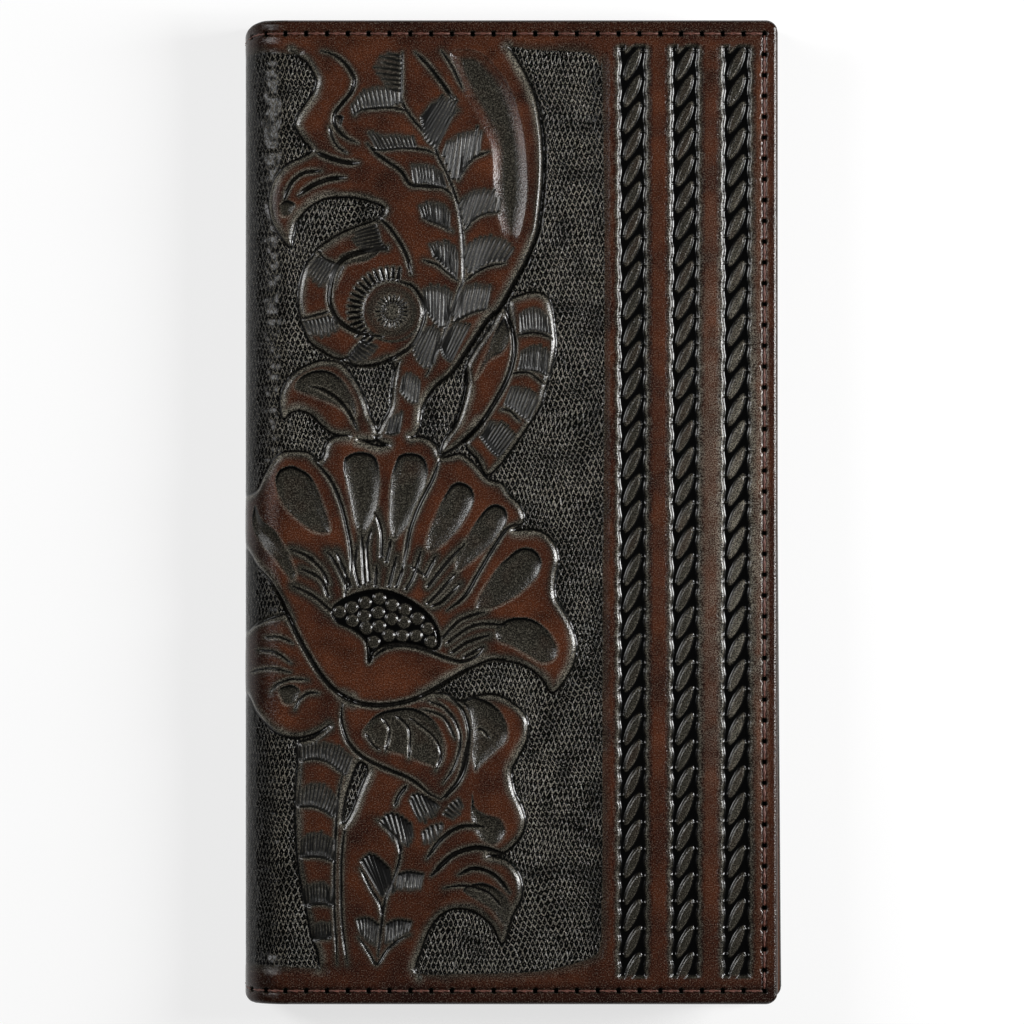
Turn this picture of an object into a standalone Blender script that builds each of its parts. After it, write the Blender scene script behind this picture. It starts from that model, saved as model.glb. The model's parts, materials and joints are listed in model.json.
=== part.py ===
"""A tall tooled-leather rodeo wallet, closed and lying on its back cover.

Metres, +Z up. +X runs from the fold to the free edge, +Y to the top of the covers.
The origin lies under the middle of the closed wallet, on the surface that carries it.

Each half is a stack of sheets, counted from its outer face inwards: cover leather, lining,
pocket panel, then the card slots, which overlap like shingles. The cover leather turns over
the fold as two strips between two halves, on three hinges that share one half turn.
"""

import math

import bmesh
import bpy
from mathutils import Matrix, Vector

# Covers, closed, seen from the front
COVER_HEIGHT = 0.178
COVER_WIDTH = 0.0966
BACK_FLARE = 0.0013  # how far the back cover's free edge shows past the front one, at its foot
CORNER_RADIUS = 0.0022
EDGE_ROUND = 0.0007

# Sheet thicknesses
COVER_LEATHER = 0.0020
LINING_SHEET = 0.0004
PANEL_SHEET = 0.0007
SLOT_SHEET = 0.0006
WINDOW_SHEET = 0.0003
FRAME_SHEET = 0.0008

# Room between neighbours
SEAT_GAP = 0.0003
BILL_GAP = 0.0004
CLOSING_GAP = 0.0004
LINING_INSET = 0.0006
PANEL_INSET = 0.0004
SLOT_INSET = 0.0010

# Card slots, for bank cards that lie across the half
SLOT_PITCH = 0.0140
SLOT_DEPTH = 0.0480
SLOT_FOOT = 0.0040
BACK_SLOT_COUNT = 8
FRONT_SLOT_COUNT = 3

# Identity-card window on the front half
FRAME_HEIGHT = 0.0620
FRAME_ABOVE_SLOTS = 0.0120
WINDOW_BORDER = 0.0070
WINDOW_LAP = 0.0035  # how far the clear sheet reaches behind the frame on each side
WINDOW_RADIUS = 0.0030

# Seams
SEAM_INSET = 0.0024
THREAD_DIAMETER = 0.0006
THREAD_CLEARANCE = 0.00015
THREAD_SUNK = 0.00005  # how far the outer thread lies below the leather's face
SEAM_START = 0.0010  # how far from the fold the outer seams start

# Fold
HINGE_COUNT = 3
STRIP_GAP = 0.0003
PANEL_REACH = 0.0006  # how far the pocket panels reach past the fold line
SPINE_TOP_CORNER = (0.0036, 0.0022)  # width and drop of the fold's rounded ends, seen from the front
SPINE_BOTTOM_CORNER = (0.0014, 0.0012)

# Facets
CORNER_STEPS = 6
ARC_STEP = math.radians(7.5)
THREAD_STEPS = 2
FACE_EPSILON = 1e-6
CUTTER_MARGIN = 0.0005

# Sheets of a half, as heights above its outer face
LINING_LEVEL = COVER_LEATHER + SEAT_GAP
PANEL_LEVEL = LINING_LEVEL + LINING_SHEET + BILL_GAP
SLOT_LEVEL = PANEL_LEVEL + PANEL_SHEET + SEAT_GAP
WINDOW_LEVEL = SLOT_LEVEL
FRAME_LEVEL = WINDOW_LEVEL + WINDOW_SHEET + SEAT_GAP
FRAME_THREAD_LEVEL = FRAME_LEVEL + FRAME_SHEET + THREAD_CLEARANCE + THREAD_DIAMETER / 2
SLOT_TILT = math.asin((SLOT_SHEET + SEAT_GAP) / SLOT_PITCH)
SLOT_STACK = SLOT_DEPTH * math.sin(SLOT_TILT) + SLOT_SHEET * math.cos(SLOT_TILT)
HALF_THICKNESS = SLOT_LEVEL + SLOT_STACK

# The fold is a half circle of cover leather round this line
FOLD_RADIUS = HALF_THICKNESS + CLOSING_GAP / 2
SPINE_X = -(COVER_WIDTH + BACK_FLARE) / 2
FOLD_X = SPINE_X + FOLD_RADIUS
FREE_X = SPINE_X + COVER_WIDTH
FOLD_CENTRE = Vector((FOLD_X, 0, FOLD_RADIUS))
HINGE_TURN = math.pi / HINGE_COUNT
PANEL_X = FOLD_X - PANEL_REACH
SLOT_RIGHT_X = FREE_X - SLOT_INSET
GROOVE_WIDTH = THREAD_DIAMETER + 2 * THREAD_CLEARANCE
GROOVE_DEPTH = THREAD_DIAMETER + THREAD_SUNK + THREAD_CLEARANCE
SLOTS_Y = -COVER_HEIGHT / 2 + SLOT_FOOT


def material(name, colour, roughness, metallic=0.0, alpha=1.0):
    """A plain finish."""
    made = bpy.data.materials.new(name)
    made.use_nodes = True
    shader = made.node_tree.nodes["Principled BSDF"]
    shader.inputs["Base Color"].default_value = (*colour, 1.0)
    shader.inputs["Roughness"].default_value = roughness
    shader.inputs["Metallic"].default_value = metallic
    shader.inputs["Alpha"].default_value = alpha
    return made


def hinge_angle(number):
    """How far round the fold a hinge lies, from the back cover; hinges count from 1."""
    return (number - 0.5) * HINGE_TURN


def on_fold(radius, angle):
    """The point on the fold at a radius and an angle from the back cover."""
    return FOLD_CENTRE + Vector((-radius * math.sin(angle), 0, -radius * math.cos(angle)))


def body(name, pivot):
    """An empty on a body's joint, which carries its pieces."""
    empty = bpy.data.objects.new(name + "_pivot", None)
    empty.empty_display_size = FOLD_RADIUS
    empty.location = pivot
    bpy.context.scene.collection.objects.link(empty)
    return empty


def place(name, data, finish, carrier):
    """Links an object whose data is in world places, and hangs it on its carrier."""
    data.transform(Matrix.Translation(-carrier.location))
    data.materials.append(finish)
    obj = bpy.data.objects.new(name, data)
    obj.parent = carrier
    bpy.context.scene.collection.objects.link(obj)
    return obj


def finish_mesh(bm, name, front=False):
    """Turns a bmesh into a mesh; a front piece is mirrored across the plane where the halves meet."""
    if front:
        bmesh.ops.scale(bm, vec=(1, 1, -1), verts=bm.verts)
        bmesh.ops.translate(bm, vec=(0, 0, 2 * FOLD_RADIUS), verts=bm.verts)
    bmesh.ops.recalc_face_normals(bm, faces=bm.faces)
    mesh = bpy.data.meshes.new(name)
    bm.to_mesh(mesh)
    bm.free()
    return mesh


def free_edge(y, flare):
    """Where a cover's free edge lies at a height; a flared edge stands out at its foot."""
    return FREE_X + flare * (0.5 - y / COVER_HEIGHT)


def half_outline(start_x, inset, flare):
    """Plan of a half's sheet, from the fold round its two free corners and back."""
    half = COVER_HEIGHT / 2 - inset
    radius = max(CORNER_RADIUS - inset, CORNER_RADIUS / CORNER_STEPS)
    points = [(start_x, -half)]
    for side, first in ((-1, -math.pi / 2), (1, 0.0)):
        y = side * (half - radius)
        x = free_edge(y, flare) - inset - radius
        for step in range(CORNER_STEPS + 1):
            turn = first + step * math.pi / 2 / CORNER_STEPS
            points.append((x + radius * math.cos(turn), y + radius * math.sin(turn)))
    points.append((start_x, half))
    return points


def slab(points, low, high):
    """A flat sheet between two heights."""
    bm = bmesh.new()
    face = bm.faces.new([bm.verts.new((x, y, low)) for x, y in points])
    raised = bmesh.ops.extrude_face_region(bm, geom=[face])["geom"]
    bmesh.ops.translate(
        bm, vec=(0, 0, high - low), verts=[v for v in raised if isinstance(v, bmesh.types.BMVert)]
    )
    bmesh.ops.recalc_face_normals(bm, faces=bm.faces)
    return bm


def turn_over_fold(bm, angle):
    """Carries a sheet's end at the fold line on round the fold."""
    end = [f for f in bm.faces if all(abs(v.co.x - FOLD_X) < FACE_EPSILON for v in f.verts)]
    bmesh.ops.spin(
        bm,
        geom=end + list(end[0].edges) + list(end[0].verts),
        cent=FOLD_CENTRE,
        axis=(0, 1, 0),
        angle=angle,
        steps=round(angle / ARC_STEP),
    )


def round_outer_rim(bm, flat_ends):
    """Rounds the rim of a sheet's outer face, but not along the ends in flat_ends."""

    def faces_out(face):
        arm = face.calc_center_median() - FOLD_CENTRE
        if arm.x > 0:
            return face.normal.z < -0.9
        return face.normal.dot(Vector((arm.x, 0, arm.z)).normalized()) > 0.9

    rim = []
    for edge in bm.edges:
        outer = [faces_out(f) for f in edge.link_faces]
        walls = [f for f, out in zip(edge.link_faces, outer) if not out]
        if any(outer) and walls and not any(abs(walls[0].normal.dot(n)) > 0.9 for n in flat_ends):
            rim.append(edge)
    bmesh.ops.bevel(bm, geom=rim, offset=EDGE_ROUND, segments=2, profile=0.5, affect="EDGES")


def radial_normal(angle):
    """The normal of a cut across the fold at an angle."""
    return Vector((-math.cos(angle), 0, math.sin(angle)))


def wrapped_sheet(inset, low, high, flare, rounded):
    """A half's sheet that runs on to its hinge, for the cover and its lining."""
    end_angle = hinge_angle(1) - STRIP_GAP / 2 / FOLD_RADIUS
    bm = slab(half_outline(FOLD_X, inset, flare), low, high)
    turn_over_fold(bm, end_angle)
    bmesh.ops.recalc_face_normals(bm, faces=bm.faces)
    if rounded:
        round_outer_rim(bm, [radial_normal(end_angle)])
    return bm


def spine_drop(angle, corner):
    """How far the fold's rounded end falls short of the cover's edge at an angle."""
    width, drop = corner
    seen_at = FOLD_RADIUS * (1 - math.sin(angle))
    share = min(max((width - seen_at) / width, 0.0), 1.0)
    return drop * (1 - math.sqrt(1 - share * share))


def spine_strip(number, inset, low, high, rounded):
    """One strip of the fold between two hinges, as a mesh turned about the fold."""
    first = hinge_angle(number) + STRIP_GAP / 2 / FOLD_RADIUS
    last = hinge_angle(number + 1) - STRIP_GAP / 2 / FOLD_RADIUS
    half = COVER_HEIGHT / 2 - inset
    bm = bmesh.new()
    corners = ((low, -half), (low, half), (high, half), (high, -half))
    places = [on_fold(FOLD_RADIUS - depth, first) + Vector((0, y, 0)) for depth, y in corners]
    face = bm.faces.new([bm.verts.new(p) for p in places])
    bmesh.ops.spin(
        bm,
        geom=[face] + list(face.edges) + list(face.verts),
        cent=FOLD_CENTRE,
        axis=(0, 1, 0),
        angle=last - first,
        steps=round((last - first) / ARC_STEP),
    )
    bmesh.ops.holes_fill(bm, edges=bm.edges, sides=len(corners))
    bmesh.ops.recalc_face_normals(bm, faces=bm.faces)
    if rounded:
        round_outer_rim(bm, [radial_normal(first), radial_normal(last)])
    for vert in bm.verts:
        arm = vert.co - FOLD_CENTRE
        angle = math.atan2(-arm.x, -arm.z)
        corner = SPINE_TOP_CORNER if vert.co.y > 0 else SPINE_BOTTOM_CORNER
        vert.co.y -= math.copysign(spine_drop(angle, corner), vert.co.y)
    return bm


def seam_route(inset, flare):
    """The outer seam's line, in plan: along the foot, up the free edge and back along the top."""
    return half_outline(FOLD_X + SEAM_START, inset, flare)


def groove_cutter(flare, front):
    """The stitch groove's inside, as a cutter for a cover."""
    outer = seam_route(SEAM_INSET - GROOVE_WIDTH / 2, flare)
    inner = seam_route(SEAM_INSET + GROOVE_WIDTH / 2, flare)
    bm = bmesh.new()
    rows = [[bm.verts.new((x, y, -CUTTER_MARGIN)) for x, y in line] for line in (outer, inner)]
    faces = []
    for i in range(len(outer) - 1):
        faces.append(bm.faces.new((rows[0][i], rows[0][i + 1], rows[1][i + 1], rows[1][i])))
    raised = bmesh.ops.extrude_face_region(bm, geom=faces)["geom"]
    bmesh.ops.translate(
        bm,
        vec=(0, 0, GROOVE_DEPTH + CUTTER_MARGIN),
        verts=[v for v in raised if isinstance(v, bmesh.types.BMVert)],
    )
    return finish_mesh(bm, "groove_cutter", front)


def cut(obj, cutter):
    """Cuts one object with another, which is then only a helper."""
    cutter.hide_render = True
    cutter.display_type = "WIRE"
    modifier = obj.modifiers.new("cut", "BOOLEAN")
    modifier.operation = "DIFFERENCE"
    modifier.object = cutter


def thread(name, route, height, finish, carrier, closed=False):
    """A sewing thread along a route in plan, at one height."""
    curve = bpy.data.curves.new(name, "CURVE")
    curve.dimensions = "3D"
    curve.bevel_depth = THREAD_DIAMETER / 2
    curve.bevel_resolution = THREAD_STEPS
    curve.use_fill_caps = True
    spline = curve.splines.new("POLY")
    spline.points.add(len(route) - 1)
    for point, (x, y) in zip(spline.points, route):
        point.co = (x, y, height, 1)
    spline.use_cyclic_u = closed
    return place(name, curve, finish, carrier)


def rounded_box(left, right, bottom, top, radius):
    """A rectangle with rounded corners, in plan."""
    points = []
    centres = ((right, bottom), (right, top), (left, top), (left, bottom))
    for number, (x, y) in enumerate(centres):
        x += radius if x == left else -radius
        y += radius if y == bottom else -radius
        for step in range(CORNER_STEPS + 1):
            turn = (number - 1) * math.pi / 2 + step * math.pi / 2 / CORNER_STEPS
            points.append((x + radius * math.cos(turn), y + radius * math.sin(turn)))
    return points


def plain_box(left, right, bottom, top):
    """A rectangle in plan."""
    return [(left, bottom), (right, bottom), (right, top), (left, top)]


def add_cover(side, flare, front, finish, carrier):
    """A half's cover leather, with the groove that its stitches lie in."""
    mesh = finish_mesh(wrapped_sheet(0, 0, COVER_LEATHER, flare, True), side + "_cover", front)
    cover = place(side + "_cover", mesh, finish, carrier)
    cutter = place(side + "_groove_cutter", groove_cutter(flare, front), finish, carrier)
    cut(cover, cutter)


def add_seam(side, flare, front, finish, carrier):
    """A half's outer seam thread, in its groove."""
    depth = THREAD_SUNK + THREAD_DIAMETER / 2
    height = 2 * FOLD_RADIUS - depth if front else depth
    route = seam_route(SEAM_INSET, flare)
    clear = THREAD_CLEARANCE
    route[0] = (route[0][0] + clear, route[0][1])
    route[-1] = (route[-1][0] + clear, route[-1][1])
    thread(side + "_seam_thread", route, height, finish, carrier)


def add_half_sheets(side, flare, front, lining, leather, carrier):
    """A half's lining and its pocket panel, which leave the bill pocket between them."""
    low = LINING_LEVEL
    sheet = wrapped_sheet(LINING_INSET, low, low + LINING_SHEET, flare, False)
    place(side + "_lining", finish_mesh(sheet, side + "_lining", front), lining, carrier)
    outline = half_outline(PANEL_X, PANEL_INSET, flare)
    sheet = slab(outline, PANEL_LEVEL, PANEL_LEVEL + PANEL_SHEET)
    place(side + "_pocket_panel", finish_mesh(sheet, side + "_panel", front), leather, carrier)


def add_card_slots(side, count, front, finish, carrier):
    """A half's card slots; slot 1 is the lowest, and each lies on the one above it."""
    for number in range(1, count + 1):
        bm = slab(plain_box(PANEL_X, SLOT_RIGHT_X, 0, SLOT_DEPTH), 0, SLOT_SHEET)
        bmesh.ops.rotate(bm, cent=(0, 0, 0), matrix=Matrix.Rotation(SLOT_TILT, 3, "X"), verts=bm.verts)
        foot = SLOTS_Y + SLOT_SHEET * math.sin(SLOT_TILT) + (number - 1) * SLOT_PITCH
        bmesh.ops.translate(bm, vec=(0, foot, SLOT_LEVEL), verts=bm.verts)
        name = f"{side}_card_slot_{number}"
        place(name, finish_mesh(bm, name, front), finish, carrier)


def add_window(leather, clear, sewing, carrier):
    """The identity-card window above the front half's slots: clear sheet, frame and its seam."""
    bottom = SLOTS_Y + SLOT_DEPTH + (FRONT_SLOT_COUNT - 1) * SLOT_PITCH + FRAME_ABOVE_SLOTS
    top = bottom + FRAME_HEIGHT
    border = WINDOW_BORDER

    def framed(inset, radius):
        return rounded_box(PANEL_X + inset, SLOT_RIGHT_X - inset, bottom + inset, top - inset, radius)

    sheet = slab(framed(border - WINDOW_LAP, WINDOW_RADIUS), WINDOW_LEVEL, WINDOW_LEVEL + WINDOW_SHEET)
    place("window_clear_sheet", finish_mesh(sheet, "clear_sheet", True), clear, carrier)
    plate = slab(framed(0, CORNER_RADIUS), FRAME_LEVEL, FRAME_LEVEL + FRAME_SHEET)
    frame = place("window_frame", finish_mesh(plate, "window_frame", True), leather, carrier)
    inside = slab(
        framed(border, WINDOW_RADIUS),
        FRAME_LEVEL - CUTTER_MARGIN,
        FRAME_LEVEL + FRAME_SHEET + CUTTER_MARGIN,
    )
    cut(frame, place("window_cutter", finish_mesh(inside, "window", True), clear, carrier))
    height = 2 * FOLD_RADIUS - FRAME_THREAD_LEVEL
    thread("window_frame_thread", framed(SEAM_INSET, CORNER_RADIUS), height, sewing, carrier, closed=True)


def main():
    """Builds the wallet."""
    for old in list(bpy.data.objects):
        bpy.data.objects.remove(old, do_unlink=True)

    tooled = material("tooled_leather", (0.075, 0.030, 0.018), 0.42)
    smooth = material("pocket_leather", (0.105, 0.045, 0.026), 0.5)
    lining = material("lining", (0.030, 0.018, 0.014), 0.75)
    sewing = material("thread", (0.110, 0.045, 0.030), 0.6)
    clear = material("clear_plastic", (0.85, 0.87, 0.88), 0.1, alpha=0.35)

    back = body("back_half", Vector((0, 0, 0)))
    strips = [body(f"spine_{n}", on_fold(FOLD_RADIUS, hinge_angle(n))) for n in range(1, HINGE_COUNT)]
    front = body("front_half", on_fold(FOLD_RADIUS, hinge_angle(HINGE_COUNT)))

    for side, flare, is_front, slots, carrier in (
        ("back", BACK_FLARE, False, BACK_SLOT_COUNT, back),
        ("front", 0.0, True, FRONT_SLOT_COUNT, front),
    ):
        add_cover(side, flare, is_front, tooled, carrier)
        add_seam(side, flare, is_front, sewing, carrier)
        add_half_sheets(side, flare, is_front, lining, smooth, carrier)
        add_card_slots(side, slots, is_front, smooth, carrier)
    add_window(smooth, clear, sewing, front)

    for number, carrier in enumerate(strips, 1):
        leather = spine_strip(number, 0, 0, COVER_LEATHER, True)
        name = f"spine_leather_{number}"
        place(name, finish_mesh(leather, name), tooled, carrier)
        backing = spine_strip(number, LINING_INSET, LINING_LEVEL, LINING_LEVEL + LINING_SHEET, False)
        name = f"spine_lining_{number}"
        place(name, finish_mesh(backing, name), lining, carrier)


main()
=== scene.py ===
"""Rodeo wallet: the tooled leather, sewing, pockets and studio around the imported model."""
import json
import logging
import math
from dataclasses import dataclass, field
from enum import Enum
from typing import Callable, Iterable, Sequence

import bmesh
import bpy
import numpy as np
from mathutils import Matrix, Vector
from mathutils.bvhtree import BVHTree


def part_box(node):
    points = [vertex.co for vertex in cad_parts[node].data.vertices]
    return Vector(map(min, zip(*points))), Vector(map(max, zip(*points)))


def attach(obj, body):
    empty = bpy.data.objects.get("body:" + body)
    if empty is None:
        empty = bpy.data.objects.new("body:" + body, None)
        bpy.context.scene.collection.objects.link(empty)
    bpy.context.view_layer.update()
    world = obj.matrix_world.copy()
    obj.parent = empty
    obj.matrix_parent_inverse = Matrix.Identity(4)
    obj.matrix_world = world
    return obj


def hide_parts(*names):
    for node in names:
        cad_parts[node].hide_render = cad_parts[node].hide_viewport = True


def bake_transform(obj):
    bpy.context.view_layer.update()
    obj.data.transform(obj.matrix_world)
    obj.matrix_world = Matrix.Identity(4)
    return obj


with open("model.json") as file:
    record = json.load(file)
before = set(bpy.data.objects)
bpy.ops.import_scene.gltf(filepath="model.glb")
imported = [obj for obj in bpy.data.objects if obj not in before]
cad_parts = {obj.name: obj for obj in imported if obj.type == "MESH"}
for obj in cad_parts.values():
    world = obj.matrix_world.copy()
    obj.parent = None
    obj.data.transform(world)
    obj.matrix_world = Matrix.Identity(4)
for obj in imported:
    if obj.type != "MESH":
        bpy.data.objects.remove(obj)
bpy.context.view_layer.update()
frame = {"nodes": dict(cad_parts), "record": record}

log = logging.getLogger("rodeo_wallet")

MM = 0.001
CELL = 0.1
SMALL = 1e-9
FAR = 99.0
SEAM_INSET = 2.45

Point = tuple[float, float]
Colour = tuple[float, float, float]
Span = tuple[float, ...]


class Side(Enum):
    """The half of the wallet that a stretch of leather is measured from."""

    FRONT = 1
    BACK = -1


def route(text: str) -> list[Point]:
    """Reads a list of places written as "x,y x,y"."""
    return [tuple(float(number) for number in pair.split(",")) for pair in text.split()]


def ease(value: np.ndarray) -> np.ndarray:
    """A smooth step from 0 to 1."""
    inside = np.clip(value, 0.0, 1.0)
    return inside * inside * (3 - 2 * inside)


def fade(away: np.ndarray, spread: float) -> np.ndarray:
    """One on a line, and soon nothing beside it."""
    return np.exp(-((away / spread) ** 2))


def deepen(layer: np.ndarray, where: tuple[slice, slice], value: np.ndarray) -> None:
    """Raises part of a layer to a value, where it is lower."""
    layer[where] = np.maximum(layer[where], value)


@dataclass(frozen=True)
class CoverPlan:
    """The leather of both halves, laid out flat from the fold line, in millimetres.

    A place is q, the way along the leather from the line where a half becomes flat (below zero
    on the fold), and v, the height above the middle of the cover.
    """

    radius: float
    fold_x: float
    reach: float
    half_height: float
    flare: float
    corner: float = 2.2
    leather: float = 2.0
    edge_round: float = 0.9
    spine_top: Point = (3.6, 2.2)
    spine_foot: Point = (1.4, 1.2)
    calm: float = 9.0

    @property
    def fold_middle(self) -> float:
        """The way from a half's fold line to the middle of the fold."""
        return -self.radius * math.pi / 2

    def drop(self, q: np.ndarray, spine: Point) -> np.ndarray:
        """How far the outline falls short of the cover's full height.

        Args:
            q: Ways along the leather.
            spine: Width and depth of the rounding at this end of the fold.

        Returns:
            The shortfall at each way.
        """
        late = np.clip(q - (self.reach - self.corner), 0, self.corner)
        free = self.corner - np.sqrt(np.maximum(self.corner**2 - late**2, 0))
        on_half = np.where(q < self.fold_middle, 2 * self.fold_middle - q, q)
        seen = self.radius * (1 - np.sin(np.clip(-on_half, 0, None) / self.radius))
        share = np.clip((spine[0] - seen) / spine[0], 0, 1)
        return free + np.where(q < 0, spine[1] * (1 - np.sqrt(1 - share**2)), 0)

    def settle(self, q: np.ndarray, v: np.ndarray, side: Side) -> tuple[np.ndarray, np.ndarray]:
        """Fits places on the plain rectangle into the cover's real outline."""
        fall = np.where(v > 0, self.drop(q, self.spine_top), self.drop(q, self.spine_foot))
        near = np.clip((np.abs(v) - self.half_height + self.calm) / self.calm, 0, 1)
        flare = self.flare if side is Side.BACK else 0.0
        wider = 1 + np.where(q > 0, flare * (0.5 - v / 2 / self.half_height) / self.reach, 0)
        return q * wider, v - np.sign(v) * fall * near

    def bend(self, q: np.ndarray, v: np.ndarray, up: np.ndarray, side: Side) -> np.ndarray:
        """Lays places of the flat plan round the fold.

        Args:
            q: Ways along the leather.
            v: Heights above the cover's middle.
            up: How far each place stands out of the outer face.
            side: The half that q is measured from.

        Returns:
            Places in metres, one row each.
        """
        q, v = self.settle(q, v, side)
        turn = np.clip(-q, 0, None) / self.radius
        out = self.radius + up
        x = self.fold_x + np.clip(q, 0, None) - out * np.sin(turn)
        z = self.radius + side.value * out * np.cos(turn)
        return np.stack([x, v, z], axis=-1) * MM

    def spot(self, degrees: float, side: Side) -> tuple[float, float, float]:
        """A place on the outer face of the fold, by its turn from a half's fold line."""
        q = np.array([-math.radians(degrees) * self.radius])
        return tuple(float(c) for c in self.bend(q, np.zeros(1), np.zeros(1), side)[0])


def cover_plan() -> CoverPlan:
    """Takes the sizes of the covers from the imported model."""
    low, high = (np.array(corner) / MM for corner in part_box("front_cover"))
    back_high = np.array(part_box("back_cover")[1]) / MM
    spine_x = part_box("spine_leather_1")[0][0] / MM
    radius = high[2] / 2
    fold_x = spine_x + radius
    return CoverPlan(
        radius=radius, fold_x=fold_x, reach=high[0] - fold_x,
        half_height=(high[1] - low[1]) / 2, flare=back_high[0] - high[0],
    )


@dataclass(frozen=True)
class PhotoPlan:
    """Where the closed cover lies in the photograph's 1024 pixel frame."""

    left: Point = (245.3, -2.8)
    right: Point = (779.7, -4.4)
    top: Point = (21.8, -2.0)
    foot: Point = (1002.8, 2.2)
    first: Point = (244.0, 22.0)
    spread: Point = (534.0, 981.0)

    def on_cover(self, places: Sequence[Point], plan: CoverPlan) -> np.ndarray:
        """Turns places read off the photograph into places on the leather.

        Args:
            places: Pixel places.
            plan: The cover's plan.

        Returns:
            Rows of q and v in millimetres.
        """
        x, y = np.array(places, float).T
        across, down = (x - self.first[0]) / self.spread[0], (y - self.first[1]) / self.spread[1]
        left = self.left[0] + self.left[1] * down
        right = self.right[0] + self.right[1] * down
        top = self.top[0] + self.top[1] * across
        foot = self.foot[0] + self.foot[1] * across
        u = (plan.reach + plan.radius) * (x - left) / (right - left)
        v = plan.half_height - 2 * plan.half_height * (y - top) / (foot - top)
        bent = -plan.radius * np.arcsin(np.clip((plan.radius - u) / plan.radius, -1, 1))
        return np.stack([np.where(u < plan.radius, bent, u - plan.radius), v], axis=-1)


def smooth_route(points: np.ndarray, closed: bool, step: float = 0.4) -> np.ndarray:
    """A soft curve through points.

    Args:
        points: Rows of q and v.
        closed: Whether the last point joins the first.
        step: Rough spacing of the result.

    Returns:
        Closely spaced rows of q and v.
    """
    count = len(points)
    if count < 3:
        share = np.linspace(0, 1, max(2, int(np.ptp(points, axis=0).max() / step)))[:, None]
        return points[0] * (1 - share) + points[-1] * share
    found = []
    for index in range(count if closed else count - 1):
        if closed:
            a, b, c, d = (points[(index + k) % count] for k in (-1, 0, 1, 2))
        else:
            a, b = points[max(index - 1, 0)], points[index]
            c, d = points[index + 1], points[min(index + 2, count - 1)]
        share = np.linspace(0, 1, max(2, int(np.hypot(*(c - b)) / step) + 1))[:-1, None]
        found.append(0.5 * (
            2 * b + (c - a) * share + (2 * a - 5 * b + 4 * c - d) * share**2
            + (3 * b - a - 3 * c + d) * share**3
        ))
    found.append(points[:1] if closed else points[-1:])
    return np.concatenate(found)


@dataclass(frozen=True)
class Halo:
    """A tone or depth that is fullest on a line, or some way beside it, and soon fades."""

    share: float
    spread: float
    beside: float = 0.0

    def at(self, away: np.ndarray) -> np.ndarray:
        """Its value at distances from the line, in millimetres."""
        return self.share * fade(away - self.beside, self.spread)


@dataclass(frozen=True)
class Ramp:
    """A tone that grows smoothly from a start; a length below zero turns it round."""

    share: float
    start: float
    length: float

    def at(self, place: np.ndarray) -> np.ndarray:
        """Its value at places, in millimetres."""
        return self.share * ease((place - self.start) / self.length)


@dataclass(frozen=True)
class CloserLook:
    """A closer look at the photograph: the corner that it starts from and how much it magnifies."""

    corner: Point
    scale: float

    def places(self, text: str) -> list[Point]:
        """Reads places written off the closer look, as places of the whole photograph."""
        return [(self.corner[0] + x / self.scale, self.corner[1] + y / self.scale) for x, y in route(text)]


Width = Callable[[np.ndarray], np.ndarray]


def narrow_ends(half: float, tip: float = 0.35, pace: float = 5.0) -> Width:
    """The half width of a cut that narrows at both ends."""
    return lambda share: half * (tip + (1 - tip) * ease(np.minimum(share, 1 - share) * pace))


def narrow_start(half: float, tip: float = 0.4, pace: float = 3.0) -> Width:
    """The half width of a cut that starts narrow."""
    return lambda share: half * (tip + (1 - tip) * ease(share * pace))


def narrowing(half: float, loss: float) -> Width:
    """The half width of a cut that narrows all the way."""
    return lambda share: half * (1 - loss * share)


class Groove(Enum):
    """A knife cut in the leather: half its width and its depth, in millimetres."""

    THICK = (0.52, 0.62)
    BOLD = (0.40, 0.52)
    THIN = (0.27, 0.36)


@dataclass(frozen=True)
class Fan:
    """A fan of tapered strokes, from a base line to a line of tips, in photograph places."""

    base: str
    tips: str
    count: int
    wide: float = 0.33


# Outlines of what stands up out of the matted ground.
TOP_SCROLL_AND_LEAF = """299,40 299.4,56.4 307.7,62.9 315,74 317.8,83.2 314.1,94.3 307.7,103.6
 300.3,114.7 296.6,125.8 299.4,133.2 305.8,142.4 313,151.7 304,158.1 287.3,166.5 274.4,181.2
 268.8,199.7 270.7,218.2 278.1,233 291,247.8 293.8,238.6 298.4,222 309.5,209 326.2,199.7
 348.4,197.9 370.6,201.6 385,209 378,220 361.7,225.9 340,234.6 320.4,247.6 314,256 304,272
 299,298 301.5,319 305,330 311.7,343.7 327,354.6 340,360 355,365.4 374.8,365.4 390,360
 395,370 392,387 390,409 381,426 377,440 400,446 414,437 421,425 424,405 435.7,387 451.9,373.2
 468.3,350 488.9,319.5 498.7,311 507.4,297.3 520.4,274 527.7,260 537.8,235 541.6,212.7
 544.4,184.9 545.3,157.2 543.5,129.5 538.8,103.6 531.4,83.2 520.3,62.9 511,48 508,40"""
LOBED_LEAF = """283.6,419.4 280,402.8 283.6,388 292.9,375 307.7,365.8 324.3,361.1 341,363.9 353,377
 364,396 370,415 376.1,426.8 377,440 360,440 348,436 334,434 324,427 313,416 302,411 291,413"""
LONG_LEAF = """504,306.7 511.7,326.3 515,348 509.6,374 496.5,400 479,426 457.4,446 442,454.6
 443,444 449,434 458,419 464,402 467.5,385 466.5,368 470.4,358.4 479.7,343.6 492.6,325"""
FAN_PETALS = """509.6,302.4 520.4,295.9 535.7,292.6 548.7,298 553,311 555.5,330 556.4,346 553.6,362
 546.2,388 540.7,406.4 524,432.3 510,452 500,465 487,475 478,460 466,444 479,426 496.5,400
 509.6,374 515,348 511.7,326.3"""
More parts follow.
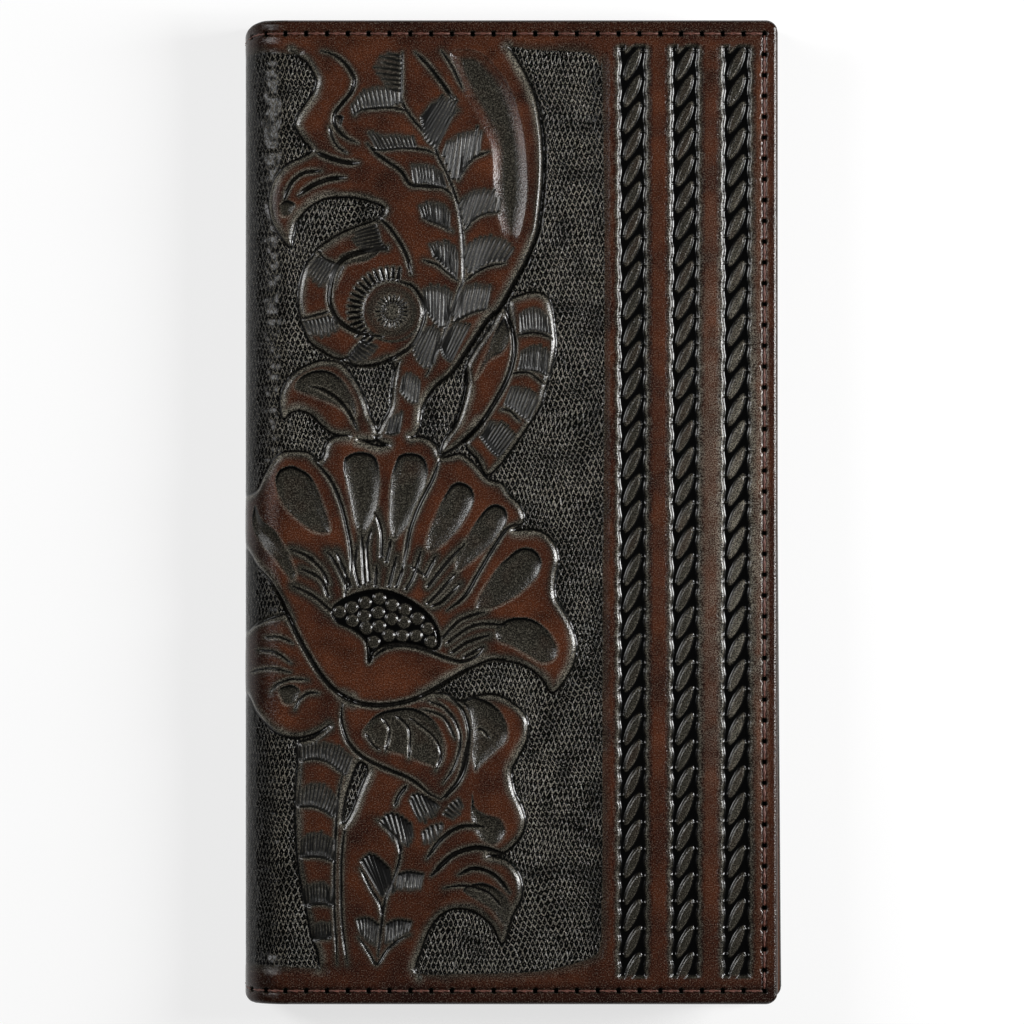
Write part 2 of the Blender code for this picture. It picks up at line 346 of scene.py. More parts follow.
FLOWER = """244,497 254,492 263,476 271.7,461.7 281.5,453.2 296,451.5 309.5,453.5 318,461 324,455
 326.2,445.3 333.6,437.9 348.4,436 359.5,439.7 374.3,445.3 383.5,446.2 396.5,441.6 411.2,437
 426,438.8 436,446 441,457 450.1,456.4 461.2,454.5 474.1,463.8 487.1,478.6 501.9,484.1
 511,496.6 520.3,506 524,520 514,530 525.9,530 540.7,531.8 553.6,542.9 558.3,559.5 555.5,576.2
 554.6,594.7 561,607.6 570.3,624.3 575.8,642.8 574,659.4 566.6,676 551.8,692.7 542.5,679.7
 529.6,668.6 514.8,662.2 500,660.3 488.9,660.3 468.6,668.6 451.9,677.9 433.4,689 415,698.2
 392.8,703.8 370.6,704.7 350.2,700 333.6,689 320.6,674.2 307.7,653.8 296.6,633.5 287.3,613.2
 278.1,594.7 267,578 255.9,566 248,552 244,546 238,540 238,500"""
SIDE_LEAVES = """238,640 248,630 257,622 267,618 280,615 288,616 296.6,633.5 307.7,653.8 320.6,674.2
 333.6,689 346.5,700 339.1,713 329.9,724 313.2,733.4 294.7,737 278.1,733.4 263.3,722.3
 254,711.2 247,696 238,690"""
FOOT_LEAVES = """297.3,743 297.3,760.5 294.9,789.8 294.9,826 297.3,863 301,887 305.9,911.7 310.7,936
 315.6,948 318,965 316,990 418,990 414,968 420.5,948 427.8,928.8 440,914 454.6,908 474,911.7
 491,926 501,943.4 510.7,916.6 520.5,894.6 518,875 505.9,860.5 488,855 502,853 518,838.5
 524,821.5 520.5,806.8 513,789.8 510.7,770 518,755.6 526.6,736 525.4,716.6 510.7,702
 493.7,694.6 474,695.9 459.5,701 440,693 400,698 346.5,700 339.1,713 325,728 311,738"""
STRIP_OF_GROUND = "358,762 367,768 359,790 349,815 342,822 344,800 350,780"
RAISED = (
    TOP_SCROLL_AND_LEAF, LOBED_LEAF, LONG_LEAF, FAN_PETALS, FLOWER, SIDE_LEAVES, FOOT_LEAVES,
)
GROUND = """232,53.8 240,53.6 247,53.5 257.7,53.4 270,53.8 282,54.6 292,55.6 300,55 306,50
 320,46 400,46 511,48 527.7,50 555.5,51.8 583.2,52.7 596.2,57.3
 601.7,68.4 603.6,79.5 605,300 602,600 600,900 598,942.7 594.3,953.8 583.2,959.3 564.7,964.9
 537,970.4 500,972.3 415,973 320,967 265,964 240,963.5 232,963 230,961 230,957 230,949 230,930
 230,880 230,750 230,500 230,250 230,130 230,90 230,70 230,61 230,57 230,55"""

SEED_POD = """331.4,613.2 333.6,605.8 344.7,598.4 359.5,592.8 378,590.6 394.6,593.7 411.2,602 426,613.2
 435.3,626.1 439,639 437.1,646.5 429.7,649.2 415,644.6 396.5,642.8 381.7,645.5 372.4,652
 368.7,661.3 367.8,646.5 363.2,637.2 350.2,628 337.3,622.4 331.4,613.2"""

# Knife cuts, by their size.
GROOVES: dict[Groove, tuple[str, ...]] = {
    Groove.THICK: (
        "511,48 520.3,62.9 531.4,83.2 538.8,103.6 543.5,129.5 545.3,157.2 544.4,184.9 541.6,212.7"
        " 537.8,235 527.7,260 520.4,274 507.4,297.3 498.7,311 488.9,319.5 468.3,350 451.9,373.2"
        " 435.7,387 424,405 420.5,425",
        "504,306.7 511.7,326.3 515,348 509.6,374 496.5,400 479,426 457.4,446 442,454.6",
        "389,247.4 370.6,251 350.9,256.7 340,264 333.5,276.3 330.2,298 333.6,312.1 340,322"
        " 353,330.7 370.4,336 383.5,336.7",
        "255.9,568.8 267,578 278.1,594.7 287.3,613.2 296.6,633.5 307.7,653.8 320.6,674.2"
        " 333.6,689 350.2,700 370.6,704.7 392.8,703.8 415,698.2 433.4,689 451.9,677.9"
        " 468.6,668.6 488.9,660.3 505,659",
        "317,153.5 333.6,160 348.4,163.7 359.5,163.7",
        "467,366 466,387 457,420 448.7,435",
        "502,853 484,848 469,848 449.8,855.6 430,875",
        "300,196 313.2,186.8 329.9,180.3 346.5,178.5",
    ),
    Groove.BOLD: (
        "323.4,52.7 333.6,55.5 344.7,62.9 353,74 355.8,83.2 352,94.3 342.8,105.4 336.3,114.7"
        " 335.4,123.9 339.1,131.3 348.4,139.6 359.5,144.3",
        "285.5,201.6 288.3,192.3 294.7,181.2 305.8,173.8 322.5,172",
        "368.7,144.3 376,153.5 389,162.8 402,172 411.2,185 424.2,186.8 442.7,188.6",
        "416.8,53.6 429.7,66.6 442.7,83.2 455.6,101.7",
        "396.5,281.6 407.5,284.4 413.9,287.2 422.6,300.2 425,317.7 413.9,343.7 396.5,356.7"
        " 374.8,365.4 348.7,366.5",
        "310.5,387 322.5,389.8 335.4,397.2 344.7,406.4 352,417.5 357.6,430.5",
        "313,459 330,479 340,501 347,527.6 351,552 351,576",
        "441,457 432.7,479 420.5,503 410.7,527.6 405.9,552 402,571.5",
        "523,524 508,527.6 493.7,547 479,571.5 464.4,595.9 447,610",
        SEED_POD,
        "368.7,661 374.3,655.7 387.2,647.4 405.7,645.5 426,650.2 444.5,657.5 461.2,661.3"
        " 476,655.7 483.4,646.5",
        "342,703 341,720 347,740 360,755 378,765 395,772 412,780 428,793 440,799",
        "470,729 465,752 457,780 440,799",
        "450,697 462,710 468,730 467,750 463,770 455,785 445,797",
        "483.9,826.3 459.5,826.3 440,838.5 425.4,858",
        "457,873.9 474,867.8 493.7,875 508,892",
        "405.9,785 398,795 394,806",
        "380,219 390,228 400,242 408,258 412,275",
    ),
    Groove.THIN: (
        "442.7,51.8 451.9,64.7 459.3,79.5 464,88.8", "330.8,127.6 333.6,138.7 339.1,148 348.4,154.4",
        "459.3,111 448.2,122 439,136.9 436.7,147.6 440,158.5 448.7,175.9 457.4,199.8 461.7,221.5"
        " 464,250 464,278.5 459.6,291.5 448.7,322 437.8,352.4 427,376.3",
        "404,54 402.6,91.5 403,102 411.7,117 422.6,130 436.7,147.6",
        "356.3,116.1 361.7,111 374.8,109.6 392.2,108.5 409.6,112.8",
        "368,145 379,151 403,149 427,151 438,156", "458.5,181.3 463.9,171.5 474.8,158.5 490,152.4",
        "414,187 429,186 446.5,190 454,198", "465,232.4 472.6,221.5 485.7,213.9 499.8,212.8",
        "425,219 440,225 454,232", "425,261 437.8,265.4 448.7,274 459.6,281.7",
        "465,282 478,272 492,266 506,264", "453,323 466,316 477,311.5 488,309",
        "302,319.8 314,316.5 331,312", "320.4,247.6 340,234.6 361.7,225.9 378,220",
        "319,251 326,260 340,265.4", "311.7,343.7 327,354.6 340,360 350,357 358,347 366,340",
        "518.3,335.4 529,333.3 542,333.9 553,339.3", "511.7,374 529,373 544.3,385",
        "500.9,410 509.6,411 520.4,422", "401,361 396,370 393,386 391,408",
        "299.8,760.5 313,758 327.8,761.7 344.9,775", "297.3,805.6 310.7,805.6 322.9,809.3 332.7,816.6",
        "299.8,856.8 310.7,855.6 322.9,856.8 331.5,860.5", "304.6,905.6 313,903 322.9,903 330,905.6",
        "313,939.8 320.5,937.3 329,937.3",
        "343,770 337,800 334,850 333,900 336,963", "345,822 340.5,860 341,920 346,963",
        "357,936 366.8,950.7 375.4,963 386.3,948.3 398.5,938.5 408.3,933.7",
        "401,843.4 396,867.8 383.9,899.5 380,924 376.6,955",
        "376.6,819 388,830 396,838.5 399.8,855.6", "359.5,867.8 369.3,887.3 379,904.4 381.5,924",
        "365.6,732.4 371.7,743.4 379,749.5", "380.2,716.6 388.8,728.8 385,750.7",
        "393.7,714 408.3,728.8 408.3,758", "408.3,716.6 432.7,736 440,753 435,770",
        "420.5,709 442.4,716.6 454.6,738.5", "427.8,700.7 442.4,706.8 451,716.6",
        "435,699.5 452,716.6 459.5,738.5 454.6,763 442.4,782.4",
        "442.4,887.3 464,885 486.3,892 501,906.8", "474,731 481,729 488.8,738.5",
        "265,637 280,637 293,643", "258,650 275,652 291,663", "250,672 270,668 290,672",
        "270.7,690.8 278.1,683.4 291,678.8 307.7,679.7", "294.7,709.3 298.4,700 307.7,692.7 318.8,692.7",
        "254,626 267,619 287,613", "346,568 345,600", "410,566 425,575",
    ),
}

# Stamens, in places of a closer look at the flower.
STAMENS_LOOK = CloserLook((240.0, 430.0), 4.1)
STAMENS = """210,490 280,520 340,580 360,630|255,570 330,610 360,680|220,640 300,680 370,740
|360,500 400,560 440,650|480,480 470,560 490,640|540,410 520,480 530,620|555,340 580,420 580,520
|620,450 600,540|640,520 610,640|740,500 710,600 680,650|800,520 760,600|920,470 850,540 770,640
|880,590 820,660 770,710|900,630 830,700 790,720|1000,745 900,780 830,850|1090,800 960,800 850,870
|1020,840 930,870 870,910|990,890 920,930|395,500 430,580 450,640|500,430 505,540 510,630
|560,560 555,640|670,560 640,640"""

# Pressed hollows, by their depth and how softly they end, in millimetres.
HOLLOWS: dict[tuple[float, float], tuple[str, ...]] = {
    (0.62, 0.5): (
        "276.6,486 276,478 280,470 289,466 296,466.6 310.7,476 321,496 328,515.4 330,532.4"
        " 313,532.4 293.7,517.8 281,503",
        "343.7,466.6 348.5,455.4 362,452 375.4,456.8 380,473.9 380,493.4 375.4,515.4 365,532.4"
        " 356,530 349.8,503",
        "395,465 399.8,455.6 410.7,453 423,456.8 427.8,469 425.4,488.5 418,510.5 405,530"
        " 394,539.8 389,527.6 388.8,503 391,480",
        "447,492 453,484 462,482.4 471.7,488.5 474,500.7 466.8,517.8 454.6,534.9 437.6,549.5"
        " 427.8,552 425.4,542 432.7,520",
        "483,512 493.7,504.4 504.6,508 507,520 498.5,537 483.9,552 466.8,566.6 456,571.5"
        " 455,559 464.4,539.8",
        "508,556.8 520,548 533,549 541,560 538,575 528,587 511,600 492,609 476.6,610.5"
        " 476,600 486,583 496,569",
        "495,630 508,619 527.8,617.8 545,628 557,645 554.6,659 542,664 527.8,656.8"
        " 510.7,647 497,641",
        "462,700 478,697 497,708 507,726 506,741 494,753 481,765 474,772 470,755 471,735 468,712",
        "471.7,792 474,806.8 486.3,814 500,818 505,830 500,841 490,845 478,838 470,820",
    ),
    (0.85, 2.4): (
        "452,52 480,52 500,70 515,95 525,130 529,170 528,205 520,238 508,242 500,225 494,190"
        " 492,150 480,120 465,95 455,70",
    ),
    (0.42, 0.5): (
        "295,390 301,378 315,371 331,372 346,384 356,401 357,417 345,412 330,404 312,397",
        "337,116 345,118 343,127 349,136 360,144 352,143 342,137 336,129 334,121",
        "255,505 262,520 275,530 285,545 292,560 297,575 290,580 275,560 262,545 252,525",
        "280,208 288,201 297,206 293,216 283,218", "483,360 504,318 510,335 505,352 490,362 476,380",
        "278,690 290,684 300,690 296,702 284,704",
        "362,735 375,715 395,708 415,708 435,722 445,745 440,765 425,764 405,756 385,750",
        "462,889 480,882 498,890 510,905 502,925 490,910 475,900",
        "340,258 352,252 366,250 380,252 368,262 350,266 342,278 336,290 334,275",
    ),
}

# Fans of strokes that shade the leaves.
FANS: tuple[Fan, ...] = (
    Fan("400.4,57.4 401.3,67.2 402,80.2 402.6,91.5", "390,55.2 381.3,61.7 379,71.5 391,90", 8),
    Fan("356.3,115.4 361.7,110 370.4,107.4 381.3,106.7 392.2,106.3 402,103",
        "354,107 360,99 370,92 381,89 392,89.5 401,91", 13),
    Fan("423.7,119.3 424.8,130.2 429,141 436.7,147.6",
        "434.6,104 442,100.9 450.9,99.8 457.4,108.5", 9, 0.42),
    Fan("379,149.8 390,149.5 400.9,148 416,147.2", "370.4,134 383,137 396.5,137 414,139", 11),
    Fan("445.4,156.3 449.8,170.4 457.4,181.3 463.9,170.4 470.4,160.7 479,154",
        "448.7,143.7 454,140 459.6,136.7 467.2,134.6 474.8,133 482.4,132.4", 9, 0.42),
    Fan("416.5,184.7 424.8,183 435.7,184.5 445.4,187", "414,167 422.6,167 433.5,168 443,174.8", 10),
    Fan("459.6,206.3 462.8,217 467,227 474.8,219 485.7,214 498.7,211",
        "463.9,199.8 470.4,195.4 477,192 485.7,192 494.3,194.3 500.9,199.8", 10),
    Fan("424.8,218 435.7,222 448.7,230", "421.5,207.4 431.3,204 442,206.3 449.8,212.8", 10),
    Fan("435.7,256.7 442,263 448.7,270 456.3,277.4", "431.3,245.9 440,243.7 450.9,245.9 457.4,252.4", 9),
    Fan("463.9,256.7 467.2,267.6 472.6,274 481.3,267 492.2,262 505.2,261",
        "466,248 474.8,243.7 483.5,240.4 494.3,239.3 505.2,242.6 512.8,250.2", 11),
    Fan("427,311 433.5,318.7 442,327.4 449.8,319.8", "424.8,290.4 433.5,288.3 442,289.3 452,293.7", 9),
    Fan("453,311 455.2,319.8 466,314.3 477,311 485.7,308",
        "458.5,298 466,288.3 474.8,286 483.5,286 490,288.3", 9),
    Fan("414,345.9 418.3,359 427,367.6 433.5,363.3", "424.8,330.7 429,328.5 435.7,330.7 441,337", 8),
    Fan("442,348 445.4,356.7 450.9,361", "448.7,332.8 455.2,326.3 461.7,326.3 468.3,328.5", 7),
    Fan("375.9,227 379,234.6 381.3,243.3 387.8,250", "358.5,232.4 357.4,239 359.6,245.4 368.3,250.9", 8),
    Fan("319.3,259 325.9,262 333.5,265.4 338.9,267.6", "308.7,272 314,278 320.4,284.5 328,287", 8),
    Fan("306,323 315,320.9 322.6,319.8 330.2,317.6 336,321",
        "310.7,333 319.3,335 327,334.5 333.5,331 339,328.5", 9),
    Fan("348.7,358 353,352.5 358.5,347 362.8,342.7", "353,365 362.7,360 370.3,355 376,347", 7, 0.4),
    Fan("402,391.5 406.3,397 411.7,401.3 417.2,402.4",
        "404,378.5 408.5,375.2 413.9,376.3 419.3,382.8", 6),
    Fan("387.8,432.8 392.2,433.9 397.6,431.7", "391,420 396.5,416.5 401.5,414.3", 4, 0.4),
    Fan("522.6,331.5 531.3,330 540,330.5 549.8,333", "521.5,315.4 529,311 537.8,310 548.7,316.5", 10),
    Fan("520.4,368.8 529,370 537.8,371 546.5,374.5", "522.6,352.4 531.3,349 540,349 548.7,353.5", 10),
    Fan("506.3,405 513.9,409 522.6,416 529,419.5", "511.7,389.3 520.4,389.3 529,392.6 537.8,398", 9),
    Fan("482.4,437 487.8,444.8 494.3,452.4 498.7,455.7",
        "490,423 498.7,424 507.4,430.7 512.8,437", 9, 0.4),
    Fan("299.8,758.5 313,756 327.8,759.7 344.9,773", "299.8,746 315.6,743 332.7,745 351,757", 15),
    Fan("297.3,803.6 310.7,803.6 322.9,807.3 332.7,814.6",
        "298.5,790 310.7,784.5 325.4,786.5 337.6,801", 12),
    Fan("299.8,854.8 310.7,853.6 322.9,854.8 331.5,858.5", "301,839 310.7,834 322.9,835 335,842", 12),
    Fan("304.6,903.6 313,901 322.9,901 330,903.6", "303.4,888 313,883 322.9,883 331.5,888", 10),
    Fan("313,938 320.5,935.5 329,935.5", "312,925 320.5,922 329,923.5", 7),
    Fan("382.7,819 388.8,813.7 397.3,815.4 408.3,823.9",
        "392.4,838.5 398.5,843.4 405.9,843.4 410.7,836", 7, 0.5),
    Fan("410.7,799.5 413,794.6 420.5,794.6 432.7,802",
        "419.3,819 425.4,816.6 432.7,812.9 437.6,806.8", 7, 0.42),
    Fan("362,860.5 369.3,854.4 379,860.5 386.3,867.8",
        "379,892 383.9,894.6 388.8,892 392.4,887.3", 8, 0.5),
    Fan("422.9,832 430,826.3 440,823.9", "424,842 432.7,839.8 440,831", 5),
    Fan("443.7,813 449.8,804.4 457,799.5", "452,817.8 457,812.9 460.7,805.6", 5),
    Fan("398.5,874 408.3,872 420.5,874", "396,887.3 405.9,888.5 418.5,887.3", 7, 0.45),
    Fan("357,919 366.8,917.8 376.6,923.9", "360,932 367,939 374,944", 7),
    Fan("386.3,923.9 396,920 408.3,921.5", "385,941 393.7,938.5 405.9,931", 7, 0.42),
)

# Middles of the seeds, in places of a closer look at the pod.
SEEDS_LOOK = CloserLook((230.0, 480.0), 5.407)
SEEDS = """592,712 658,688 730,662 806,640 876,676 944,700 1012,748 1068,802 662,760 726,735 800,715
 872,750 940,768 736,800 806,790 857,840 930,842 1005,842 1085,875 775,875"""
ROSETTE = (392.8, 312.0)
ROPE_TOPS = "634.1,41 686.4,41 738.2,41"
ROPE_FEET = "630.4,982 682.6,982 734,982"


@dataclass(frozen=True)
class CutLook:
    """A knife cut, the dye beside it and the painted highlight on the ridges beside it, in millimetres and
    shares.
    """

    measured: float = 0.9
    narrowest: float = 0.05
    shallowest: float = 0.3
    filled: float = 2.4
    tint_spread: float = 0.4
    soot: float = 0.7
    soot_spread: float = 0.22
    # ridge: a painted highlight on the ridges beside the cut.
    ridge: Halo = Halo(1.0, 0.15, 0.16)
    stain: Halo = Halo(0.42, 1.3)


@dataclass(frozen=True)
class StamenLook:
    """A stamen's half width, depth and dye, in millimetres and shares."""

    half: float = 0.34
    depth: float = 0.42
    halo: float = 0.9
    stain: Halo = Halo(0.7, 1.5)


@dataclass(frozen=True)
class GroundLook:
    """The sunk ground, the raised edges round it and the painted sheen on them, in millimetres and shares.
    """

    measured: float = 2.4
    change: float = 1.2
    depth: float = 0.52
    foot_depth: float = 0.1
    foot_width: float = 0.5
    ledge: float = 0.36
    shoulder: float = 0.5
    shoulder_width: float = 1.5
    slope_start: float = 0.2
    slope_fall: float = 0.32
    slope_rise: float = 0.34
    slope_width: float = 2.3
    foot_soot: Halo = Halo(1.0, 0.40)
    edge_soot: Halo = Halo(1.0, 0.16)
    dye: float = 0.8
    stain: float = 0.06
    edge_stain: float = 0.4
    sharp_stain: float = 0.38
    stain_spread: float = 1.25
    mottled: float = 0.9
    mottles: Point = (5.0, 2.0)
    edge_burn: Halo = Halo(0.8, 2.0)
    edge_patches: float = 3.0
    # rim and crown: painted sheen on the raised edges, a line beside the edge and patches further in.
    rim: Halo = Halo(0.55, 0.26, 0.45)
    crown: Halo = Halo(0.6, 0.6, 1.0)
    crown_patches: float = 9.0
    uneven: float = 0.16
    uneven_patches: float = 1.0
    bare_edge: float = 0.15
    matted_over: float = 0.4
    least_black: float = 0.6


@dataclass(frozen=True)
class HollowLook:
    """A pressed hollow: its sides, its tones, its painted shade and the painted highlight on its rim, in
    millimetres and shares.
    """

    measured: float = 3.6
    side: float = 2.4
    softer_side: float = 0.4
    usual_softness: float = 0.5
    least_half: float = 0.5
    # upper_shade and shade are painted shade, darkest along the upper edge; rim and lit are a painted
    # highlight, strongest on the lower rim.
    upper_shade: Halo = Halo(1.3, 0.8)
    shade: Halo = Halo(0.3, 0.4)
    dye: float = 0.62
    rim: Halo = Halo(1.0, 0.2)
    lit: float = 0.5
    lit_by_height: float = 0.25


@dataclass(frozen=True)
class FanLook:
    """The patch under a fan and the strokes on it, in millimetres and shares."""

    margin: float = 1.5
    measured: float = 1.4
    tint: Halo = Halo(0.42, 1.0)
    soot: Halo = Halo(0.2, 0.6)
    dull: Halo = Halo(1.0, 0.5)
    sunk: float = 0.1
    sunk_side: float = 0.8
    longer: float = 0.04
    uneven: float = 0.07
    bowed: float = 0.05
    width: float = 0.9
    narrowing: float = 0.66
    depth: float = 0.42
    halo: float = 0.6
    # lit: the painted highlight on the ridges between the strokes.
    lit: float = 0.12


@dataclass(frozen=True)
class SeedLook:
    """The sunk pod and one round seed in it, with a painted highlight round the seed, in millimetres and
    shares.
    """

    pod_depth: float = 0.4
    measured: float = 1.4
    radius: float = 1.15
    height: float = 0.42
    pit: Halo = Halo(0.12, 0.3)
    bared: float = 0.8
    dye: float = 0.7
    # lit: a painted highlight in a ring round each seed.
    lit: Halo = Halo(0.45, 0.16, 0.95)


@dataclass(frozen=True)
class Rays:
    """Short cuts round a middle: their angles in degrees, their ends, number and half width."""

    first: float
    last: float
    inner: float
    outer: float
    count: int
    wide: float


@dataclass(frozen=True)
class RosetteLook:
    """The stamped round flower: its dome, ring and rays, and a painted highlight on the dome, in
    millimetres and shares.
    """

    measured: float = 6.2
    dome: float = 1.4
    height: float = 0.35
    moat: Halo = Halo(0.25, 0.3, 1.55)
    ring: Halo = Halo(1.0, 0.35, 5.4)
    ring_depth: float = 0.2
    ring_dye: float = 0.7
    dome_dye: float = 0.75
    dome_dyed: float = 1.5
    petals_dye: Halo = Halo(0.55, 1.4, 3.9)
    # lit: a painted highlight in a ring on the dome.
    lit: Halo = Halo(0.5, 0.5, 0.6)
    rays: tuple[Rays, ...] = (Rays(0, 344, 1.6, 2.95, 22, 0.2), Rays(80, 232, 5.9, 7.9, 19, 0.42))
    narrowing: float = 0.45
    depth: float = 0.5
    halo: float = 0.6


@dataclass(frozen=True)
class RopeLook:
    """A rope column: leaf over leaf in a trough with scalloped banks, in millimetres and shares."""

    half_width: float = 2.36
    pitch: float = 4.81
    leaf: float = 1.42
    margin: float = 3.6
    lean: float = 0.43
    curl: float = 0.05
    half_leaf: float = 0.35
    leaf_end: float = 1.03
    leaf_fullness: float = 2.2
    leaf_edge: float = 0.05
    thinnest: float = 0.02
    scallop: float = 0.17
    scallop_flat: float = 0.3
    end: float = 1.6
    wall: float = 0.3
    depth: float = 0.62
    leaf_height: float = 0.6
    leaf_rim: float = 0.35
    dye: float = 0.6
    bank: Halo = Halo(0.24, 1.2)
    bank_dye: Halo = Halo(0.75, 0.85)
    bank_burn: Halo = Halo(0.85, 1.5)
    # bank_lit and leaf_lit are painted highlights on the banks and along the leaves' edges.
    bank_lit: Halo = Halo(0.38, 0.26, 0.36)
    leaf_lit: Halo = Halo(0.45, 0.04, 0.055)


@dataclass(frozen=True)
class HoleLook:
    """A stitch hole and the groove that the thread lies in, in millimetres and shares."""

    measured: float = 1.2
    radius: float = 0.6
    depth: float = 0.95
    filled: float = 2.5
    groove_measured: float = 1.0
    brim: float = 0.05
    groove: Halo = Halo(0.3, 0.34)
    groove_dye: Halo = Halo(0.45, 0.35)


@dataclass(frozen=True)
class BorderLook:
    """The dark outer edge, the darker ends, painted shade low down and in the fold, and a painted
    reflection of the lamps near the free edge, in millimetres and shares.
    """

    dye: Halo = Halo(0.3, 0.8)
    edge_burn: Halo = Halo(0.75, 1.5)
    # Darker towards the top and bottom ends; painted shade towards the bottom and into the fold.
    darker_near_ends: Ramp = Ramp(0.62, 4.6, -3.0)
    painted_shade_low: Ramp = Ramp(0.45, -30.0, -60.0)
    painted_shade_in_fold: Ramp = Ramp(0.8, -1.5, -4.0)
    # A painted reflection of the lamps: a light patch near the free edge, at mid height.
    painted_reflection: float = 0.66
    painted_reflection_at: float = 82.5
    painted_reflection_half: Point = (9.0, 48.0)
    painted_reflection_off_edge: float = 1.6


@dataclass(frozen=True)
class WholeLook:
    """What calms and tones the whole cover at the end, with painted shade on the lower right of the ground
    and painted sheen that fades towards the bottom, in millimetres and shares.
    """

    fold_relief: float = 0.15
    relief: Ramp = Ramp(0.85, 0.5, 7.5)
    proud: float = 0.06
    crown: float = 0.3
    coarse_patches: Point = (0.6, 7.0)
    fine_patches: Point = (0.4, 2.2)
    patched: float = 0.2
    most_dye: float = 0.8
    shade: float = 0.45
    shaded_right: Ramp = Ramp(1.0, 44.0, 22.0)
    shaded_low: Ramp = Ramp(1.0, -8.0, -55.0)
    most_burn_and_shade: float = 0.8
    # The painted sheen grows weaker towards the bottom.
    sheen_loss_low: Ramp = Ramp(0.55, -20.0, -70.0)
    least_sheen_and_wear: float = 0.45
    sheen_and_wear_amount: float = 0.9
    sheen_and_wear_patches: float = 1.3
    black_without_sheen: float = 0.92


class Tooling:
    """The relief and dye of one cover, drawn on a fine flat canvas.

    Its layers are the cuts, the raised relief, the fall at the edges and the joined height, in
    millimetres, and the shares of dye, painted sheen and highlights with some wear, black antique
    with painted shade in the hollows, burnt tone with painted shade, matting and dullness.
    """

    def __init__(self, plan: CoverPlan, photo: PhotoPlan) -> None:
        """Starts a blank canvas.

        Args:
            plan: The cover's plan.
            photo: Where the cover lies in the photograph.
        """
        self.plan, self.photo = plan, photo
        self.columns = np.arange(plan.fold_middle - 0.5, plan.reach + 0.2, CELL)
        self.rows = np.arange(-plan.half_height - 0.1, plan.half_height + 0.2, CELL)
        shape = (len(self.rows), len(self.columns))
        self.cut, self.rise, self.fall, self.height = np.zeros((4, *shape), np.float32)
        self.dye, self.sheen_and_wear, self.black = np.zeros((3, *shape), np.float32)
        self.burn_and_shade, self.matted, self.dull, self.sharp = np.zeros((4, *shape), np.float32)
        self.random = np.random.default_rng(7)

    def place(self, text: str) -> np.ndarray:
        """Places on the leather for a written list of photograph places."""
        return self.photo.on_cover(route(text), self.plan)

    def window(self, low: np.ndarray, high: np.ndarray) -> tuple[slice, slice]:
        """The part of the canvas between two corners."""
        first = np.floor((low - (self.columns[0], self.rows[0])) / CELL).astype(int)
        last = np.ceil((high - (self.columns[0], self.rows[0])) / CELL).astype(int) + 1
        return slice(max(first[1], 0), max(last[1], 0)), slice(max(first[0], 0), max(last[0], 0))

    def stroke(self, points: np.ndarray, reach: float) -> Iterable[tuple]:
        """Walks along a line and measures the canvas near it.

        Args:
            points: Rows of q and v.
            reach: How far from the line to look.

        Yields:
            A window, and there the distance to this piece of the line and the share along it.
        """
        total = len(points) - 1
        for index in range(total):
            a, b = points[index], points[index + 1]
            where = self.window(np.minimum(a, b) - reach, np.maximum(a, b) + reach)
            q, v = self.columns[None, where[1]], self.rows[where[0], None]
            if q.size == 0 or v.size == 0:
                continue
            d = b - a
            share = np.clip(((q - a[0]) * d[0] + (v - a[1]) * d[1]) / max(float(d @ d), SMALL), 0, 1)
            away = np.hypot(q - a[0] - share * d[0], v - a[1] - share * d[1])
            yield where, away, (index + share) / total

    def carve(self, points: np.ndarray, wide: Width, depth: float, halo: float = 0.55,
              lit: float = 0.7) -> None:
        """Cuts one line, with dye in it and beside it, and a painted highlight on the ridges beside it.

        Args:
            points: Rows of q and v.
            wide: Half width of the cut for a share along the line.
            depth: Depth at the full width.
            halo: How much dye stays beside the cut.
            lit: How strong the painted highlight on the ridges beside it is.
        """
        look = CutLook()
        full = max(float(wide(np.array(0.0))), float(wide(np.array(0.5))))
        for where, away, share in self.stroke(points, full + look.measured):
            width = wide(share)
            inside = np.clip(1 - (away / np.maximum(width, look.narrowest)) ** 2, 0, 1)
            deepen(self.cut, where, depth * np.clip(width / full, look.shallowest, 1) * inside)
            deepen(self.black, where, ease(inside * look.filled))
            deepen(self.dye, where, halo * fade(away, width + look.tint_spread))
            deepen(self.black, where, look.soot * halo * fade(away, width + look.soot_spread))
            # Painted highlight on the ridges beside the cut.
            deepen(self.sheen_and_wear, where, look.ridge.at(away - width) * lit * (width / full))

    def stain(self, points: np.ndarray, soaked: Halo) -> None:
        """Lets dye soak into the leather beside a line."""
        for where, away, _ in self.stroke(points, soaked.spread * 2):
            deepen(self.dye, where, soaked.at(away))
            deepen(self.burn_and_shade, where, soaked.at(away))

    def fill(self, points: np.ndarray) -> np.ndarray:
        """A mask of the canvas inside a closed line."""
        count = np.zeros(self.cut.shape, np.int16)
        ends = np.roll(points, -1, axis=0)
        for a, b in zip(points, ends):
            low, high = (a, b) if a[1] < b[1] else (b, a)
            first = int(math.ceil((low[1] - self.rows[0]) / CELL))
            last = int(math.ceil((high[1] - self.rows[0]) / CELL))
            rows = np.arange(max(first, 0), min(last, len(self.rows)))
            if len(rows) == 0:
                continue
            share = (self.rows[rows] - low[1]) / (high[1] - low[1])
            q = low[0] + share * (high[0] - low[0])
            column = np.clip(np.ceil((q - self.columns[0]) / CELL).astype(int), 0, len(self.columns) - 1)
            np.add.at(count, (rows, column), 1)
        return np.cumsum(count, axis=1) % 2 == 1

    def distance(self, lines: Iterable[np.ndarray], reach: float) -> np.ndarray:
        """How far each place on the canvas is from the nearest of some lines."""
        away = np.full(self.cut.shape, FAR, np.float32)
        for line in lines:
            for where, near, _ in self.stroke(line, reach):
                away[where] = np.minimum(away[where], near)
        return away

